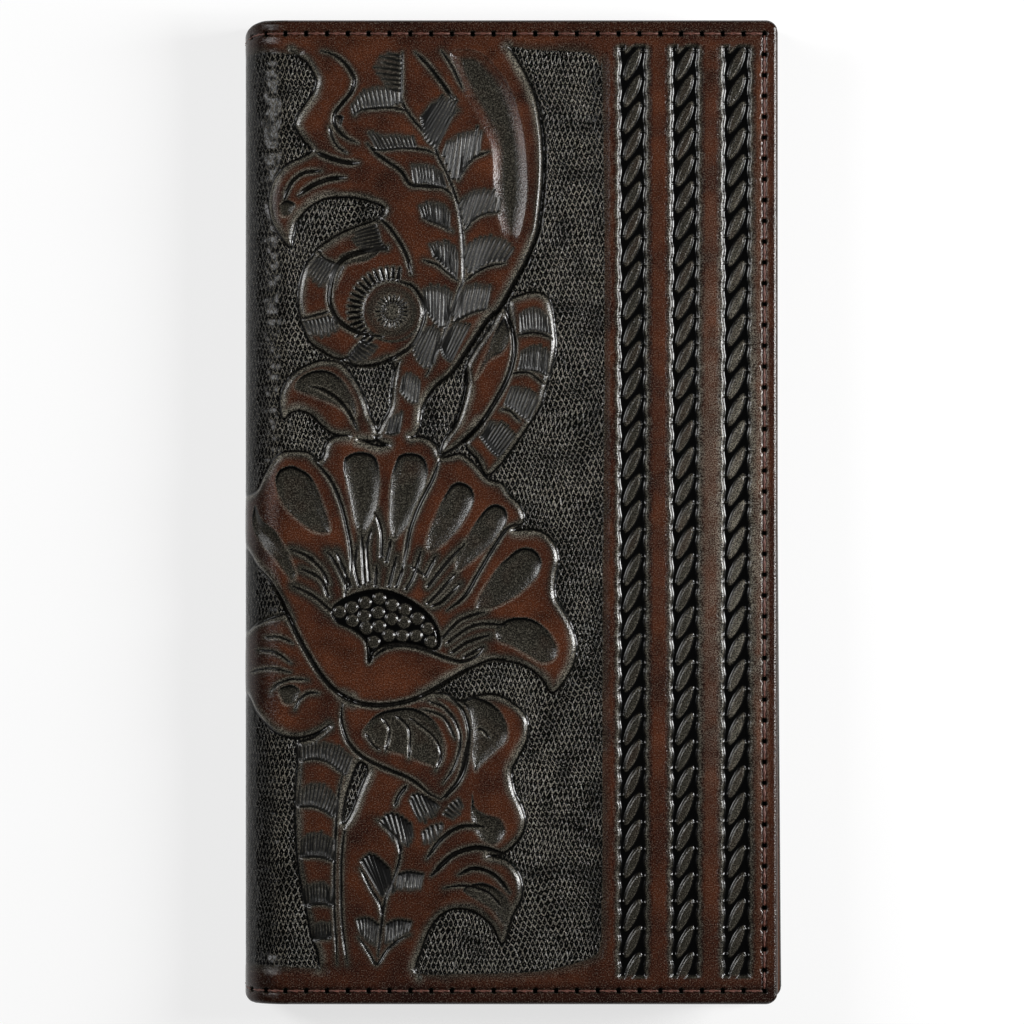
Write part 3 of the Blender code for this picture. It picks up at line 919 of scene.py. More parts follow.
    def cloud(self, size: float) -> np.ndarray:
        """Soft random patches between 0 and 1, of a rough size in millimetres."""
        rows, columns = self.cut.shape
        step = size / CELL
        coarse = self.random.random((int(rows / step) + 3, int(columns / step) + 3))
        r, c = np.arange(rows) / step, np.arange(columns) / step
        i, j = r.astype(int), c.astype(int)
        a, b = ease(r - i)[:, None], ease(c - j)[None, :]
        top = coarse[i][:, j] * (1 - b) + coarse[i][:, j + 1] * b
        low = coarse[i + 1][:, j] * (1 - b) + coarse[i + 1][:, j + 1] * b
        return top * (1 - a) + low * a

    def edges(self, lines: list[np.ndarray], mask: np.ndarray,
              reach: float) -> tuple[np.ndarray, np.ndarray]:
        """Measures how far each place is from the edges of the ground.

        Args:
            lines: Closed outlines, with the border of the whole ground last.
            mask: Where the ground is.
            reach: How far to measure.

        Returns:
            Distances to the outlines inside the border, and to the border.
        """
        near = mask.copy()
        for _ in range(3):
            near[1:] |= near[:-1]
            near[:-1] |= near[1:]
            near[:, 1:] |= near[:, :-1]
            near[:, :-1] |= near[:, 1:]
        kept: dict[bool, list[np.ndarray]] = {False: [], True: []}
        for line in lines:
            c = np.clip(((line[:, 0] - self.columns[0]) / CELL).astype(int), 0, len(self.columns) - 1)
            r = np.clip(((line[:, 1] - self.rows[0]) / CELL).astype(int), 0, len(self.rows) - 1)
            use = near[r, c] & (line[:, 0] > self.columns[0]) & (line[:, 0] < self.columns[-1])
            breaks = np.flatnonzero(~use)
            kept[line is lines[-1]] += [run for run in np.split(line, breaks) if len(run) > 2]
        return self.distance(kept[False], reach), self.distance(kept[True], reach)

    def ground(self) -> None:
        """Sinks the ground, mats it, rounds the edges of what stands up and paints a sheen on them."""
        look = GroundLook()
        lines = [smooth_route(self.place(text), True) for text in (*RAISED, STRIP_OF_GROUND, GROUND)]
        mask = self.fill(lines[-1])
        for line in lines[:-2]:
            mask &= ~self.fill(line)
        mask |= self.fill(lines[-2])
        motif, away = self.edges(lines, mask, look.measured)
        sharp = ease((away - motif + look.change / 2) / look.change)
        away = np.minimum(motif, away)
        inner, outer = np.where(mask, 0, away), np.where(mask, away, 0)
        self.sharp = sharp
        shoulder = 1 - (1 - np.clip(inner / look.shoulder_width, 0, 1)) ** 2
        sunk = -look.depth - look.foot_depth * np.clip(1 - outer / look.foot_width, 0, 1)
        level = np.where(mask, sunk, look.shoulder * shoulder - look.ledge)
        falling, rising = ease(outer / look.slope_width), ease(inner / look.slope_width)
        gentle = np.where(mask, -look.slope_fall * falling, look.slope_rise * rising) - look.slope_start
        self.rise += level * sharp + gentle * (1 - sharp)
        edge = np.where(mask, look.foot_soot.at(outer), look.edge_soot.at(inner))
        self.black = np.maximum(self.black, np.where(away < FAR, edge * sharp, 0))
        stained = look.stain + (look.edge_stain + look.sharp_stain * sharp) * fade(inner, look.stain_spread)
        coarse, fine = (self.cloud(size) for size in look.mottles)
        self.burn_and_shade = np.maximum(self.burn_and_shade, look.mottled * coarse**2 * fine)
        self.burn_and_shade = np.maximum(self.burn_and_shade, look.edge_burn.at(inner) * self.cloud(look.edge_patches))
        self.dye = np.maximum(self.dye, np.where(mask, look.dye, stained))
        # Painted sheen on the rims of the raised parts.
        rim = sharp * look.rim.at(inner)
        rim += sharp * look.crown.at(inner) * ease(self.cloud(look.crown_patches) * 2.2 - 0.8)
        self.sheen_and_wear = np.maximum(self.sheen_and_wear, np.where(mask, 0, rim))
        self.matting(mask, outer, look)

    def matting(self, mask: np.ndarray, outer: np.ndarray, look: GroundLook) -> None:
        """Strikes the ground with rows of small pointed stamps.

        Args:
            mask: Where the ground is.
            outer: How far inside the ground each place is.
            look: The ground's sizes.
        """
        self.rise += np.where(mask, look.uneven * (self.cloud(look.uneven_patches) - 0.5), 0)
        full = (outer - look.bare_edge) / look.matted_over + 1 - self.sharp
        self.matted = np.where(mask, np.clip(full, 0, 1), 0)
        self.black = np.where(mask, np.maximum(self.black, look.least_black), self.black)

    def hollows(self) -> None:
        """Presses the smooth hollows of the petals and curls, with painted shade along their upper edges
        and a painted highlight on their lower rims.
        """
        look = HollowLook()
        for (depth, soft), shapes in HOLLOWS.items():
            hard = look.usual_softness / soft
            for text in shapes:
                line = smooth_route(self.place(text), True)
                where = self.window(line.min(0) - 1, line.max(0) + 1)
                inside = self.fill(line)[where]
                away = self.distance([line], look.measured)[where]
                sides = look.side + look.softer_side * soft
                bowl = 1 - (1 - np.where(inside, np.clip(away / sides, 0, 1), 0)) ** 2
                self.rise[where] -= depth * bowl
                v = self.rows[where[0], None]
                high = (v - line[:, 1].mean()) / max(np.ptp(line[:, 1]) / 2, look.least_half)
                # Painted shade inside the edge, darkest at the top, laid into the black layer.
                shade = (look.upper_shade.at(away) * np.clip(high, 0, 1) + look.shade.at(away)) * hard
                deepen(self.dye, where, np.where(inside, look.dye * ease(away / soft), 0))
                deepen(self.black, where, np.where(inside, np.clip(shade, 0, 1), 0))
                # Painted highlight on the rim, strongest at the bottom.
                lower = look.lit - look.lit_by_height * np.clip(high, -1, 1)
                deepen(self.sheen_and_wear, where, look.rim.at(away) * hard * lower)

    def cuts(self) -> None:
        """Cuts the grooves, stamens and fans."""
        for groove, lines in GROOVES.items():
            half, depth = groove.value
            for text in lines:
                points = smooth_route(self.place(text), False)
                self.carve(points, narrow_ends(half), depth)
                self.stain(points, CutLook.stain)
        for text in STAMENS.split("|"):
            points = smooth_route(self.photo.on_cover(STAMENS_LOOK.places(text), self.plan), False)
            self.carve(points, narrow_start(StamenLook.half), StamenLook.depth, StamenLook.halo)
            self.stain(points, StamenLook.stain)
        for fan in FANS:
            self.fan(fan)

    def fan(self, fan: Fan) -> None:
        """Strikes one fan of tapered strokes."""
        look = FanLook()
        ends = []
        for text in (fan.base, fan.tips):
            line = smooth_route(self.place(text), False)
            along = np.concatenate([[0], np.cumsum(np.hypot(*np.diff(line, axis=0).T))])
            wanted = np.linspace(0, along[-1], fan.count)
            ends.append(np.stack([np.interp(wanted, along, line[:, k]) for k in (0, 1)], axis=-1))
        zone = np.concatenate([ends[0], ends[1][::-1]])
        where = self.window(zone.min(0) - look.margin, zone.max(0) + look.margin)
        inside = self.fill(zone)[where]
        away = self.distance([np.concatenate([zone, zone[:1]])], look.measured)[where]
        for layer, tone in ((self.dye, look.tint), (self.black, look.soot), (self.dull, look.dull)):
            deepen(layer, where, np.where(inside, tone.share, tone.at(away)))
        self.rise[where] -= np.where(inside, look.sunk * ease(away / look.sunk_side), 0)
        for base, tip in zip(*ends):
            tip = tip + (tip - base) * self.random.normal(look.longer, look.uneven)
            middle = (base + tip) / 2 + self.random.normal(0, look.bowed, 2)
            line = smooth_route(np.array([base, middle, tip]), False)
            wide = narrowing(look.width * fan.wide, look.narrowing)
            self.carve(line, wide, look.depth, look.halo, look.lit)

    def seed_pod(self) -> None:
        """Rounds the seeds, paints a highlight ring round each and sinks the pod around them."""
        look = SeedLook()
        inside = self.fill(smooth_route(self.place(SEED_POD), True))
        self.rise[inside] -= look.pod_depth
        self.black[inside] = 1
        self.sheen_and_wear[inside] = 0
        for centre in self.photo.on_cover(SEEDS_LOOK.places(SEEDS), self.plan):
            for where, away, _ in self.stroke(np.array([centre, centre]), look.measured):
                ball = np.sqrt(np.clip(1 - (away / look.radius) ** 2, 0, 1))
                self.rise[where] += look.height * ball - look.pit.at(away)
                self.black[where] = np.minimum(self.black[where], 1 - look.bared * ball)
                deepen(self.dye, where, look.dye * ball)
                # Painted highlight in a ring round the seed.
                deepen(self.sheen_and_wear, where, look.lit.at(away))

    def rosette(self) -> None:
        """Stamps the round flower inside the upper scroll, with a painted highlight on its dome."""
        look = RosetteLook()
        centre = self.photo.on_cover([ROSETTE], self.plan)[0]
        for where, away, _ in self.stroke(np.array([centre, centre]), look.measured):
            dome = np.sqrt(np.clip(1 - (away / look.dome) ** 2, 0, 1))
            ring = look.ring.at(away)
            self.rise[where] += look.height * dome - look.moat.at(away)
            self.rise[where] -= look.ring_depth * ring
            deepen(self.dye, where, look.dome_dye * (away < look.dome_dyed) + look.ring_dye * ring)
            deepen(self.dye, where, look.petals_dye.at(away))
            # Painted highlight in a ring on the dome.
            deepen(self.sheen_and_wear, where, look.lit.at(away))
        for rays in look.rays:
            for angle in np.radians(np.linspace(rays.first, rays.last, rays.count)):
                way = np.array([math.cos(angle), math.sin(angle)])
                line = np.array([centre + rays.inner * way, centre + rays.outer * way])
                self.carve(line, narrowing(rays.wide, look.narrowing), look.depth, look.halo)

    def ropes(self) -> None:
        """Tools the three rope columns with their side grooves, and paints highlights on the banks and
        leaves.
        """
        look = RopeLook()
        for top, foot in zip(self.place(ROPE_TOPS), self.place(ROPE_FEET)):
            low, high = (foot[0] - look.margin, foot[1]), (top[0] + look.margin, top[1])
            where = self.window(np.array(low), np.array(high))
            q, v = self.columns[None, where[1]], self.rows[where[0], None]
            share = (v - foot[1]) / (top[1] - foot[1])
            across = q - (foot[0] + share * (top[0] - foot[0]))
            turns = (v - foot[1]) / look.pitch
            t = np.clip(across / look.leaf, -1, 1)
            off = np.abs((turns - look.lean * t - look.curl * t**3) % 1.0 - 0.5)
            along = np.abs(across / look.leaf / look.leaf_end) ** look.leaf_fullness
            half = look.half_leaf * np.sqrt(np.clip(1 - along, 0, 1))
            inside = np.clip((half - off) / look.leaf_edge + 0.5, 0, 1)
            dome = np.sqrt(np.clip(1 - (off / np.maximum(half, look.thinnest)) ** 2, 0, 1))
            scallop = np.clip(np.cos(2 * math.pi * (turns - 0.5)), -look.scallop_flat, 1)
            beyond = np.abs(across) - (look.half_width - look.scallop * scallop)
            ends = ease((v - foot[1]) / look.end) * ease((top[1] - v) / look.end)
            trough = np.clip(-beyond / look.wall + 0.5, 0, 1)
            leaf = look.leaf_height * inside * (look.leaf_rim + (1 - look.leaf_rim) * dome)
            self.rise[where] -= ends * trough * (look.depth - leaf)
            self.rise[where] -= ends * (beyond > 0) * look.bank.at(beyond)
            deepen(self.black, where, ends * trough * (1 - inside))
            deepen(self.burn_and_shade, where, ends * np.where(beyond < 0, 0, look.bank_burn.at(beyond)))
            deepen(self.dye, where, ends * np.where(beyond < 0, look.dye, look.bank_dye.at(beyond)))
            # Painted highlights on the leaves' edges and on the banks.
            lit = look.leaf_lit.at(half - off) * inside
            deepen(self.sheen_and_wear, where, ends * np.maximum(look.bank_lit.at(beyond), lit))

    def holes(self, spots: np.ndarray) -> None:
        """Pricks the stitch holes and the groove that the thread lies in.

        Args:
            spots: Rows of q and v, hole by hole round the cover.
        """
        look = HoleLook()
        for spot, after in zip(spots, list(spots[1:]) + [None]):
            for where, away, _ in self.stroke(np.array([spot, spot]), look.measured):
                pit = np.clip(1 - (away / look.radius) ** 2, 0, 1)
                deepen(self.cut, where, look.depth * pit)
                deepen(self.black, where, ease(pit * look.filled))
            if after is None:
                continue
            for where, away, _ in self.stroke(np.array([spot, after]), look.groove_measured):
                self.rise[where] = np.minimum(self.rise[where], look.brim - look.groove.at(away))
                deepen(self.dye, where, look.groove_dye.at(away))

    def border(self) -> None:
        """Rounds the outer edge, darkens it and the ends, paints shade towards the bottom and into the
        fold, and paints a reflection of the lamps near the free edge.
        """
        look = BorderLook()
        q, v = self.columns[None, :], self.rows[:, None]
        from_end = self.plan.half_height - np.abs(v)
        away = np.minimum(self.plan.reach - q, from_end)
        radius = self.plan.edge_round
        inside = np.clip(radius - away, 0, radius)
        self.fall = -(radius - np.sqrt(np.maximum(radius**2 - inside**2, 0)))
        self.dye = np.maximum(self.dye, look.dye.at(away))
        # Darker near the ends, with painted shade towards the bottom and into the fold.
        burnt_and_shaded = look.darker_near_ends.at(from_end) + look.painted_shade_low.at(v) + look.painted_shade_in_fold.at(q)
        self.burn_and_shade = np.maximum(self.burn_and_shade, burnt_and_shaded)
        self.burn_and_shade = np.maximum(self.burn_and_shade, look.edge_burn.at(away))
        # Painted reflection of the lamps: a light patch near the free edge, at mid height.
        wide, tall = look.painted_reflection_half
        painted_reflection = np.exp(-(((q - look.painted_reflection_at) / wide) ** 2) - (v / tall) ** 2) * (away > look.painted_reflection_off_edge)
        self.sheen_and_wear = np.maximum(self.sheen_and_wear, look.painted_reflection * painted_reflection * (1 - np.clip(self.black, 0, 1)))

    def finish(self) -> None:
        """Joins relief, cuts and edge, softens them a little and finds the slopes."""
        look = WholeLook()
        q, v = self.columns[None, :], self.rows[:, None]
        calm = look.fold_relief + look.relief.at(q - self.plan.fold_middle)
        height = (self.rise - self.cut) * calm
        for _ in range(2):
            height = (np.roll(height, 1, 0) + np.roll(height, -1, 0) + 2 * height) / 4
            height = (np.roll(height, 1, 1) + np.roll(height, -1, 1) + 2 * height) / 4
        proud = look.proud + look.crown * np.tanh(np.maximum(height - look.proud, 0))
        self.height = np.minimum(height, proud) + self.fall
        self.slope_v, self.slope_q = np.gradient(self.height, CELL)
        patches = sum(share * self.cloud(size) for share, size in (look.coarse_patches, look.fine_patches))
        stained = np.clip(self.dye + look.patched * (patches - 0.5), 0, look.most_dye)
        black = np.clip(self.black, 0, 1)
        shaded = look.shaded_right.at(q) * look.shaded_low.at(v)
        self.burn_and_shade = np.clip(self.burn_and_shade + look.shade * self.matted * shaded, 0, look.most_burn_and_shade)
        self.dye = stained + (1 - stained) * black
        # Painted sheen and wear, weaker towards the bottom and absent on black.
        sheen_kept = 1 - look.sheen_loss_low.at(v)
        lit_and_worn = self.sheen_and_wear * sheen_kept * (look.least_sheen_and_wear + look.sheen_and_wear_amount * self.cloud(look.sheen_and_wear_patches))
        self.sheen_and_wear = np.clip(lit_and_worn, 0, 1) * (1 - look.black_without_sheen * black)

    def sample(self, layer: np.ndarray, q: np.ndarray, v: np.ndarray) -> np.ndarray:
        """Reads a layer of the canvas between its cells."""
        c = np.clip((q - self.columns[0]) / CELL, 0, len(self.columns) - 1.001)
        r = np.clip((v - self.rows[0]) / CELL, 0, len(self.rows) - 1.001)
        i, j = r.astype(int), c.astype(int)
        a, b = r - i, c - j
        top = layer[i, j] * (1 - b) + layer[i, j + 1] * b
        return top * (1 - a) + (layer[i + 1, j] * (1 - b) + layer[i + 1, j + 1] * b) * a


def seam_holes(plan: CoverPlan, start: float = 0.8, across: int = 27, upward: int = 47) -> np.ndarray:
    """Where the stitch holes of one half lie, from the fold's middle round to it again.

    Args:
        plan: The cover's plan.
        start: The first hole's way from the fold's middle.
        across: How many holes lie along the top and along the foot.
        upward: How many lie along the free edge.

    Returns:
        Rows of q and v.
    """
    side, end = plan.reach - SEAM_INSET, plan.half_height - SEAM_INSET
    along = np.linspace(plan.fold_middle + start, side, across)
    up = np.linspace(end, -end, upward)[1:-1]
    top = np.stack([along, np.full(len(along), end)], axis=-1)
    right = np.stack([np.full(len(up), side), up], axis=-1)
    foot = np.stack([along[::-1], np.full(len(along), -end)], axis=-1)
    return np.concatenate([top, right, foot])


class Graph:
    """A material's shader nodes, with short calls for the ones used here."""

    def __init__(self, name: str) -> None:
        """Makes an empty material with a surface output."""
        self.material = bpy.data.materials.new(name)
        self.material.use_nodes = True
        self.nodes = self.material.node_tree.nodes
        self.nodes.clear()
        self.output = self.nodes.new("ShaderNodeOutputMaterial")
        places = self.nodes.new("ShaderNodeTexCoord")
        self.coordinates, self.faces = places.outputs["Object"], places.outputs["Normal"]

    def put(self, socket: bpy.types.NodeSocket, value: object) -> None:
        """Links a socket or sets it."""
        if isinstance(value, bpy.types.NodeSocket):
            self.material.node_tree.links.new(value, socket)
        elif isinstance(value, tuple) and len(value) == 3 and socket.type == "RGBA":
            socket.default_value = (*value, 1.0)
        else:
            socket.default_value = value

    def math(self, operation: str, *values: object, clamp: bool = False) -> bpy.types.NodeSocket:
        """A sum, product or other plain operation."""
        node = self.nodes.new("ShaderNodeMath")
        node.operation, node.use_clamp = operation, clamp
        for socket, value in zip(node.inputs, values):
            self.put(socket, value)
        return node.outputs[0]

    def times(self, first: object, second: object, clamp: bool = False) -> bpy.types.NodeSocket:
        """The product of two values."""
        return self.math("MULTIPLY", first, second, clamp=clamp)

    def plus(self, first: object, second: object, clamp: bool = False) -> bpy.types.NodeSocket:
        """The sum of two values."""
        return self.math("ADD", first, second, clamp=clamp)

    def minus(self, first: object, second: object) -> bpy.types.NodeSocket:
        """What is left of a value."""
        return self.math("SUBTRACT", first, second)

    def over(self, first: object, second: object) -> bpy.types.NodeSocket:
        """One value divided by another."""
        return self.math("DIVIDE", first, second)

    def plain(self, value: object) -> bpy.types.NodeSocket:
        """A value without its sign."""
        return self.math("ABSOLUTE", value)

    def part(self, value: object) -> bpy.types.NodeSocket:
        """What a value has beyond a whole number."""
        return self.math("FRACT", value)

    def axes(self, vector: object) -> Sequence[bpy.types.NodeSocket]:
        """The three parts of a vector."""
        node = self.nodes.new("ShaderNodeSeparateXYZ")
        self.put(node.inputs[0], vector)
        return node.outputs

    def mix(self, share: object, first: object, second: object) -> bpy.types.NodeSocket:
        """Goes from one colour to another."""
        node = self.nodes.new("ShaderNodeMix")
        node.data_type = "RGBA"
        for index, value in ((0, share), (6, first), (7, second)):
            self.put(node.inputs[index], value)
        return node.outputs[2]

    def noise(self, size: float, detail: float = 2.0, roughness: float = 0.5,
              stretch: tuple[float, float, float] = (1, 1, 1)) -> bpy.types.NodeSocket:
        """Noise whose grains are about a size in millimetres."""
        mapping = self.nodes.new("ShaderNodeMapping")
        self.put(mapping.inputs["Vector"], self.coordinates)
        mapping.inputs["Scale"].default_value = stretch
        node = self.nodes.new("ShaderNodeTexNoise")
        self.put(node.inputs["Vector"], mapping.outputs[0])
        node.inputs["Scale"].default_value = 1 / (size * MM)
        node.inputs["Detail"].default_value = detail
        node.inputs["Roughness"].default_value = roughness
        return node.outputs["Fac"]

    def span(self, value: object, low: float, high: float, to_low: float = 0.0,
             to_high: float = 1.0) -> bpy.types.NodeSocket:
        """Stretches a range of values to another, and stops at its ends."""
        node = self.nodes.new("ShaderNodeMapRange")
        for index, number in enumerate((value, low, high, to_low, to_high)):
            self.put(node.inputs[index], number)
        return node.outputs[0]

    def attribute(self, name: str, kind: str = "Fac") -> bpy.types.NodeSocket:
        """Reads a number, or a vector, kept on the piece's vertices."""
        node = self.nodes.new("ShaderNodeAttribute")
        node.attribute_name = name
        return node.outputs[kind]

    def bump(self, height: object, distance: float, strength: float = 1.0,
             normal: object = None) -> bpy.types.NodeSocket:
        """Turns a height into a fine relief of a depth in millimetres."""
        node = self.nodes.new("ShaderNodeBump")
        node.inputs["Strength"].default_value = strength
        node.inputs["Distance"].default_value = distance * MM
        self.put(node.inputs["Height"], height)
        if normal is not None:
            self.put(node.inputs["Normal"], normal)
        return node.outputs[0]

    def surface(self, **sockets: object) -> bpy.types.Material:
        """Ends the material in a principled surface."""
        shader = self.nodes.new("ShaderNodeBsdfPrincipled")
        for name, value in sockets.items():
            self.put(shader.inputs[name.replace("_", " ")], value)
        self.put(self.output.inputs["Surface"], shader.outputs[0])
        return self.material


@dataclass(frozen=True)
class TooledFinish:
    """Hand-dyed brown leather with black antique in its cuts, a waxed top, and painted highlights, glints
    and shade.
    """

    name: str = "tooled_leather_antiqued"
    gloss: float = 0.38
    bright: Colour = (0.092, 0.027, 0.011)
    deep: Colour = (0.036, 0.011, 0.006)
    # The burnt tone, which also serves as painted shade and for the pits of the grain.
    burnt_and_shaded: Colour = (0.006, 0.0022, 0.0017)
    olive: Colour = (0.023, 0.021, 0.016)
    antique: Colour = (0.0008, 0.0008, 0.0008)
    # The light tone of painted highlights, glints and sheen, and of some wear.
    lit_and_worn: Colour = (0.225, 0.205, 0.165)
    grain: float = 0.22
    pit_width: float = 0.86
    pit_height: float = 1.14
    pits: Span = (0.52, 0.40, 0.0, 0.6)
    # The light dots on the grain are painted glints; the sparks are painted sparkle on the matting ridges.
    glint_dots: Span = (0.57, 0.70, 0.0, 0.26)
    patches: Span = (0.34, 0.66)
    olive_dye: Span = (0.12, 0.62)
    black_dye: Span = (0.72, 0.96)
    sheen_and_wear_amount: Span = (0.45, 0.57, 0.05, 1.0)
    sparks: Span = (0.40, 0.60, 0.10, 1.0)
    calm_dye: Span = (0.6, 0.9, 0.0, 0.92)
    calm_matting: float = 0.92
    ridges_under_burn_and_shade: Span = (0.0, 1.0, 1.0, 0.3)
    ridge_depth: float = 0.08
    pore_depth: float = 0.055
    roughness: Span = (0.0, 1.0, 0.18, 0.36)
    ridge_slope: float = 1.5
    ridge_start: float = 0.7
    ridge_edge: Span = (0.27, 0.08)
    drift: Span = (0.3, 0.7, -0.8, 0.8)
    shake: Span = (0.3, 0.7, -0.2, 0.2)

    def make(self) -> bpy.types.Material:
        """Builds the material."""
        g = Graph(self.name)
        dye, sheen_and_wear, burn_and_shade = g.attribute("dye"), g.attribute("sheen_and_wear"), g.attribute("burn_and_shade")
        grain = g.noise(self.grain, 1.0, 0.5)
        pits = g.span(grain, *self.pits)
        glint_dots = g.span(grain, *self.glint_dots)
        patches = g.span(g.noise(9.0, 3.0, 0.6), *self.patches)
        # Burnt tone, which here also lays down painted shade.
        brown = g.mix(burn_and_shade, g.mix(patches, self.deep, self.bright), self.burnt_and_shaded)
        # Dark pits of the grain, and light dots that are painted glints.
        brown = g.mix(glint_dots, g.mix(pits, brown, self.burnt_and_shaded), self.lit_and_worn)
        olive = g.mix(glint_dots, g.mix(pits, self.olive, self.antique), self.lit_and_worn)
        tone = g.mix(g.span(dye, *self.olive_dye), brown, olive)
        tone = g.mix(g.span(dye, *self.black_dye), tone, self.antique)
        # Painted sheen and highlights, with some wear, broken up by the grain.
        lit_and_worn = g.times(sheen_and_wear, g.span(grain, *self.sheen_and_wear_amount), clamp=True)
        tone = g.mix(lit_and_worn, tone, self.lit_and_worn)
        shown = g.minus(1.0, burn_and_shade)
        # The matting ridges take the light tone as painted highlights, broken into sparkles and weaker
        # where burn or painted shade lies.
        sparks = g.span(g.noise(self.grain, 1.0, 0.5), *self.sparks)
        net = g.times(self.net(g), sparks)
        matted = g.attribute("matted")
        ground = g.mix(g.times(net, shown), self.antique, self.lit_and_worn)
        tone = g.mix(matted, tone, ground)
        calm = g.math("MAXIMUM", g.span(dye, *self.calm_dye), g.times(matted, self.calm_matting))
        pores = g.times(grain, g.minus(1.0, calm))
        ridges = g.times(g.times(net, matted), g.span(burn_and_shade, *self.ridges_under_burn_and_shade))
        relief = g.bump(ridges, self.ridge_depth, 1.0, g.bump(pores, self.pore_depth, 1.0))
        rough = g.span(g.attribute("dull"), *self.roughness)
        return g.surface(Base_Color=tone, Roughness=rough, Normal=relief, Specular_IOR_Level=self.gloss)

    def net(self, g: Graph) -> bpy.types.NodeSocket:
        """The pointed ridges that the matting tool leaves, row over row."""
        across, upward, _ = g.axes(g.attribute("plan", "Vector"))
        drift = g.span(g.noise(11.0, 1.0, 0.5), *self.drift)
        shake = g.span(g.noise(0.8, 1.0, 0.5), *self.shake)
        x = g.plus(g.over(across, self.pit_width), drift)
        y = g.plus(g.over(upward, self.pit_height), g.plus(drift, shake))
        half_row = g.times(g.math("FLOOR", y), 0.5)
        off = g.plain(g.minus(g.part(g.plus(x, half_row)), 0.5))
        rise = g.plus(g.part(y), g.times(off, self.ridge_slope))
        away = g.plain(g.minus(g.part(g.plus(rise, self.ridge_start)), 0.5))
        return g.span(away, *self.ridge_edge)


@dataclass(frozen=True)
class PocketFinish:
    """Smooth brown pocket leather with pores, painted edges and, on the card slots, creased lips."""

    creased: bool
    light: Colour = (0.125, 0.052, 0.028)
    dark: Colour = (0.060, 0.024, 0.014)
    paint: Colour = (0.010, 0.006, 0.005)
    lip: float = -37.0
    lip_pitch: float = 14.0
    crease_below: float = 1.7
    crease_edge: Span = (0.34, 0.12)
    creased_above: Span = (-2.0, -1.5)
    crease_depth: float = 0.2
    crease_tone: float = 0.85
    patches: Span = (0.3, 0.7, 0.0, 0.7)
    dark_grain: Span = (0.5, 0.75, 0.0, 0.45)
    painted: Span = (0.6, 0.8)
    roughness: Span = (0.3, 0.7, 0.38, 0.55)

    def make(self) -> bpy.types.Material:
        """Builds the material."""
        g = Graph("pocket_leather_creased" if self.creased else "pocket_leather_smooth")
        grain = g.noise(0.50, 3.0, 0.6)
        pores = g.noise(0.20, 1.0, 0.5)
        patches = g.noise(16.0, 3.0, 0.55, (1, 0.6, 1))
        tone = g.mix(g.span(patches, *self.patches), self.light, self.dark)
        tone = g.mix(g.span(grain, *self.dark_grain), tone, self.dark)
        relief = g.bump(pores, 0.04, 0.4, g.bump(grain, 0.10, 0.8))
        if self.creased:
            crease = self.crease(g)
            tone = g.mix(g.times(crease, self.crease_tone), tone, self.paint)
            relief = g.bump(g.minus(1.0, crease), self.crease_depth, 1.0, relief)
        sideways = g.math("MAXIMUM", *(g.plain(axis) for axis in g.axes(g.faces)[:2]))
        tone = g.mix(g.span(sideways, *self.painted), tone, self.paint)
        return g.surface(Base_Color=tone, Roughness=g.span(grain, *self.roughness), Normal=relief)

    def crease(self, g: Graph) -> bpy.types.NodeSocket:
        """A pressed line a little below each slot's lip."""
        above = g.minus(g.over(g.axes(g.coordinates)[1], MM), self.lip - self.crease_below)
        turn = g.part(g.plus(g.over(above, self.lip_pitch), 0.5))
        away = g.times(g.plain(g.minus(turn, 0.5)), self.lip_pitch)
        return g.times(g.span(away, *self.crease_edge), g.span(above, *self.creased_above))


@dataclass(frozen=True)
class LiningFinish:
    """Fine dark twill, with diagonal ribs."""

    warp: Colour = (0.030, 0.020, 0.016)
    weft: Colour = (0.014, 0.010, 0.008)
    rib: float = 0.42
    slubs: Span = (0.3, 0.7, 0.6, 1.0)
    roughness: float = 0.78
    sheen: float = 0.25

    def make(self) -> bpy.types.Material:
        """Builds the material."""
        g = Graph("lining_twill")
        x, y, z = g.axes(g.coordinates)
        turn = g.times(g.plus(g.plus(x, z), y), 2 * math.pi / (self.rib * MM))
        rib = g.plus(g.times(g.math("SINE", turn), 0.5), 0.5)
        slub = g.noise(1.1, 2.0, 0.5, (1, 5, 1))
        tone = g.mix(g.times(rib, g.span(slub, *self.slubs)), self.weft, self.warp)
        return g.surface(Base_Color=tone, Roughness=self.roughness, Normal=g.bump(rib, 0.06, 0.7),
                         Sheen_Weight=self.sheen)


@dataclass(frozen=True)
class ThreadFinish:
    """Waxed reddish-brown thread with a fine twist."""

    light: Colour = (0.170, 0.062, 0.042)
    dark: Colour = (0.040, 0.014, 0.011)
    fibres: Span = (0.35, 0.65)
    roughness: float = 0.5

    def make(self) -> bpy.types.Material:
        """Builds the material."""
        g = Graph("waxed_thread")
        fibre = g.noise(0.16, 2.0, 0.6)
        tone = g.mix(g.span(fibre, *self.fibres), self.dark, self.light)
        return g.surface(Base_Color=tone, Roughness=self.roughness, Normal=g.bump(fibre, 0.05, 0.8))


@dataclass(frozen=True)
class VinylFinish:
    """Clear window sheet with faint scuffs and ripples."""

    tint: Colour = (0.30, 0.31, 0.32)
    scuffs: Span = (0.55, 0.75, 0.10, 0.24)
    bending: float = 1.46
    cover: float = 0.16

    def make(self) -> bpy.types.Material:
        """Builds the material."""
        g = Graph("window_vinyl")
        ripple = g.noise(16.0, 2.0, 0.5)
        scuff = g.span(g.noise(2.2, 4.0, 0.7, (1, 0.25, 1)), *self.scuffs)
        return g.surface(Base_Color=self.tint, Roughness=scuff, IOR=self.bending, Alpha=self.cover,
                         Normal=g.bump(ripple, 0.35, 0.5))


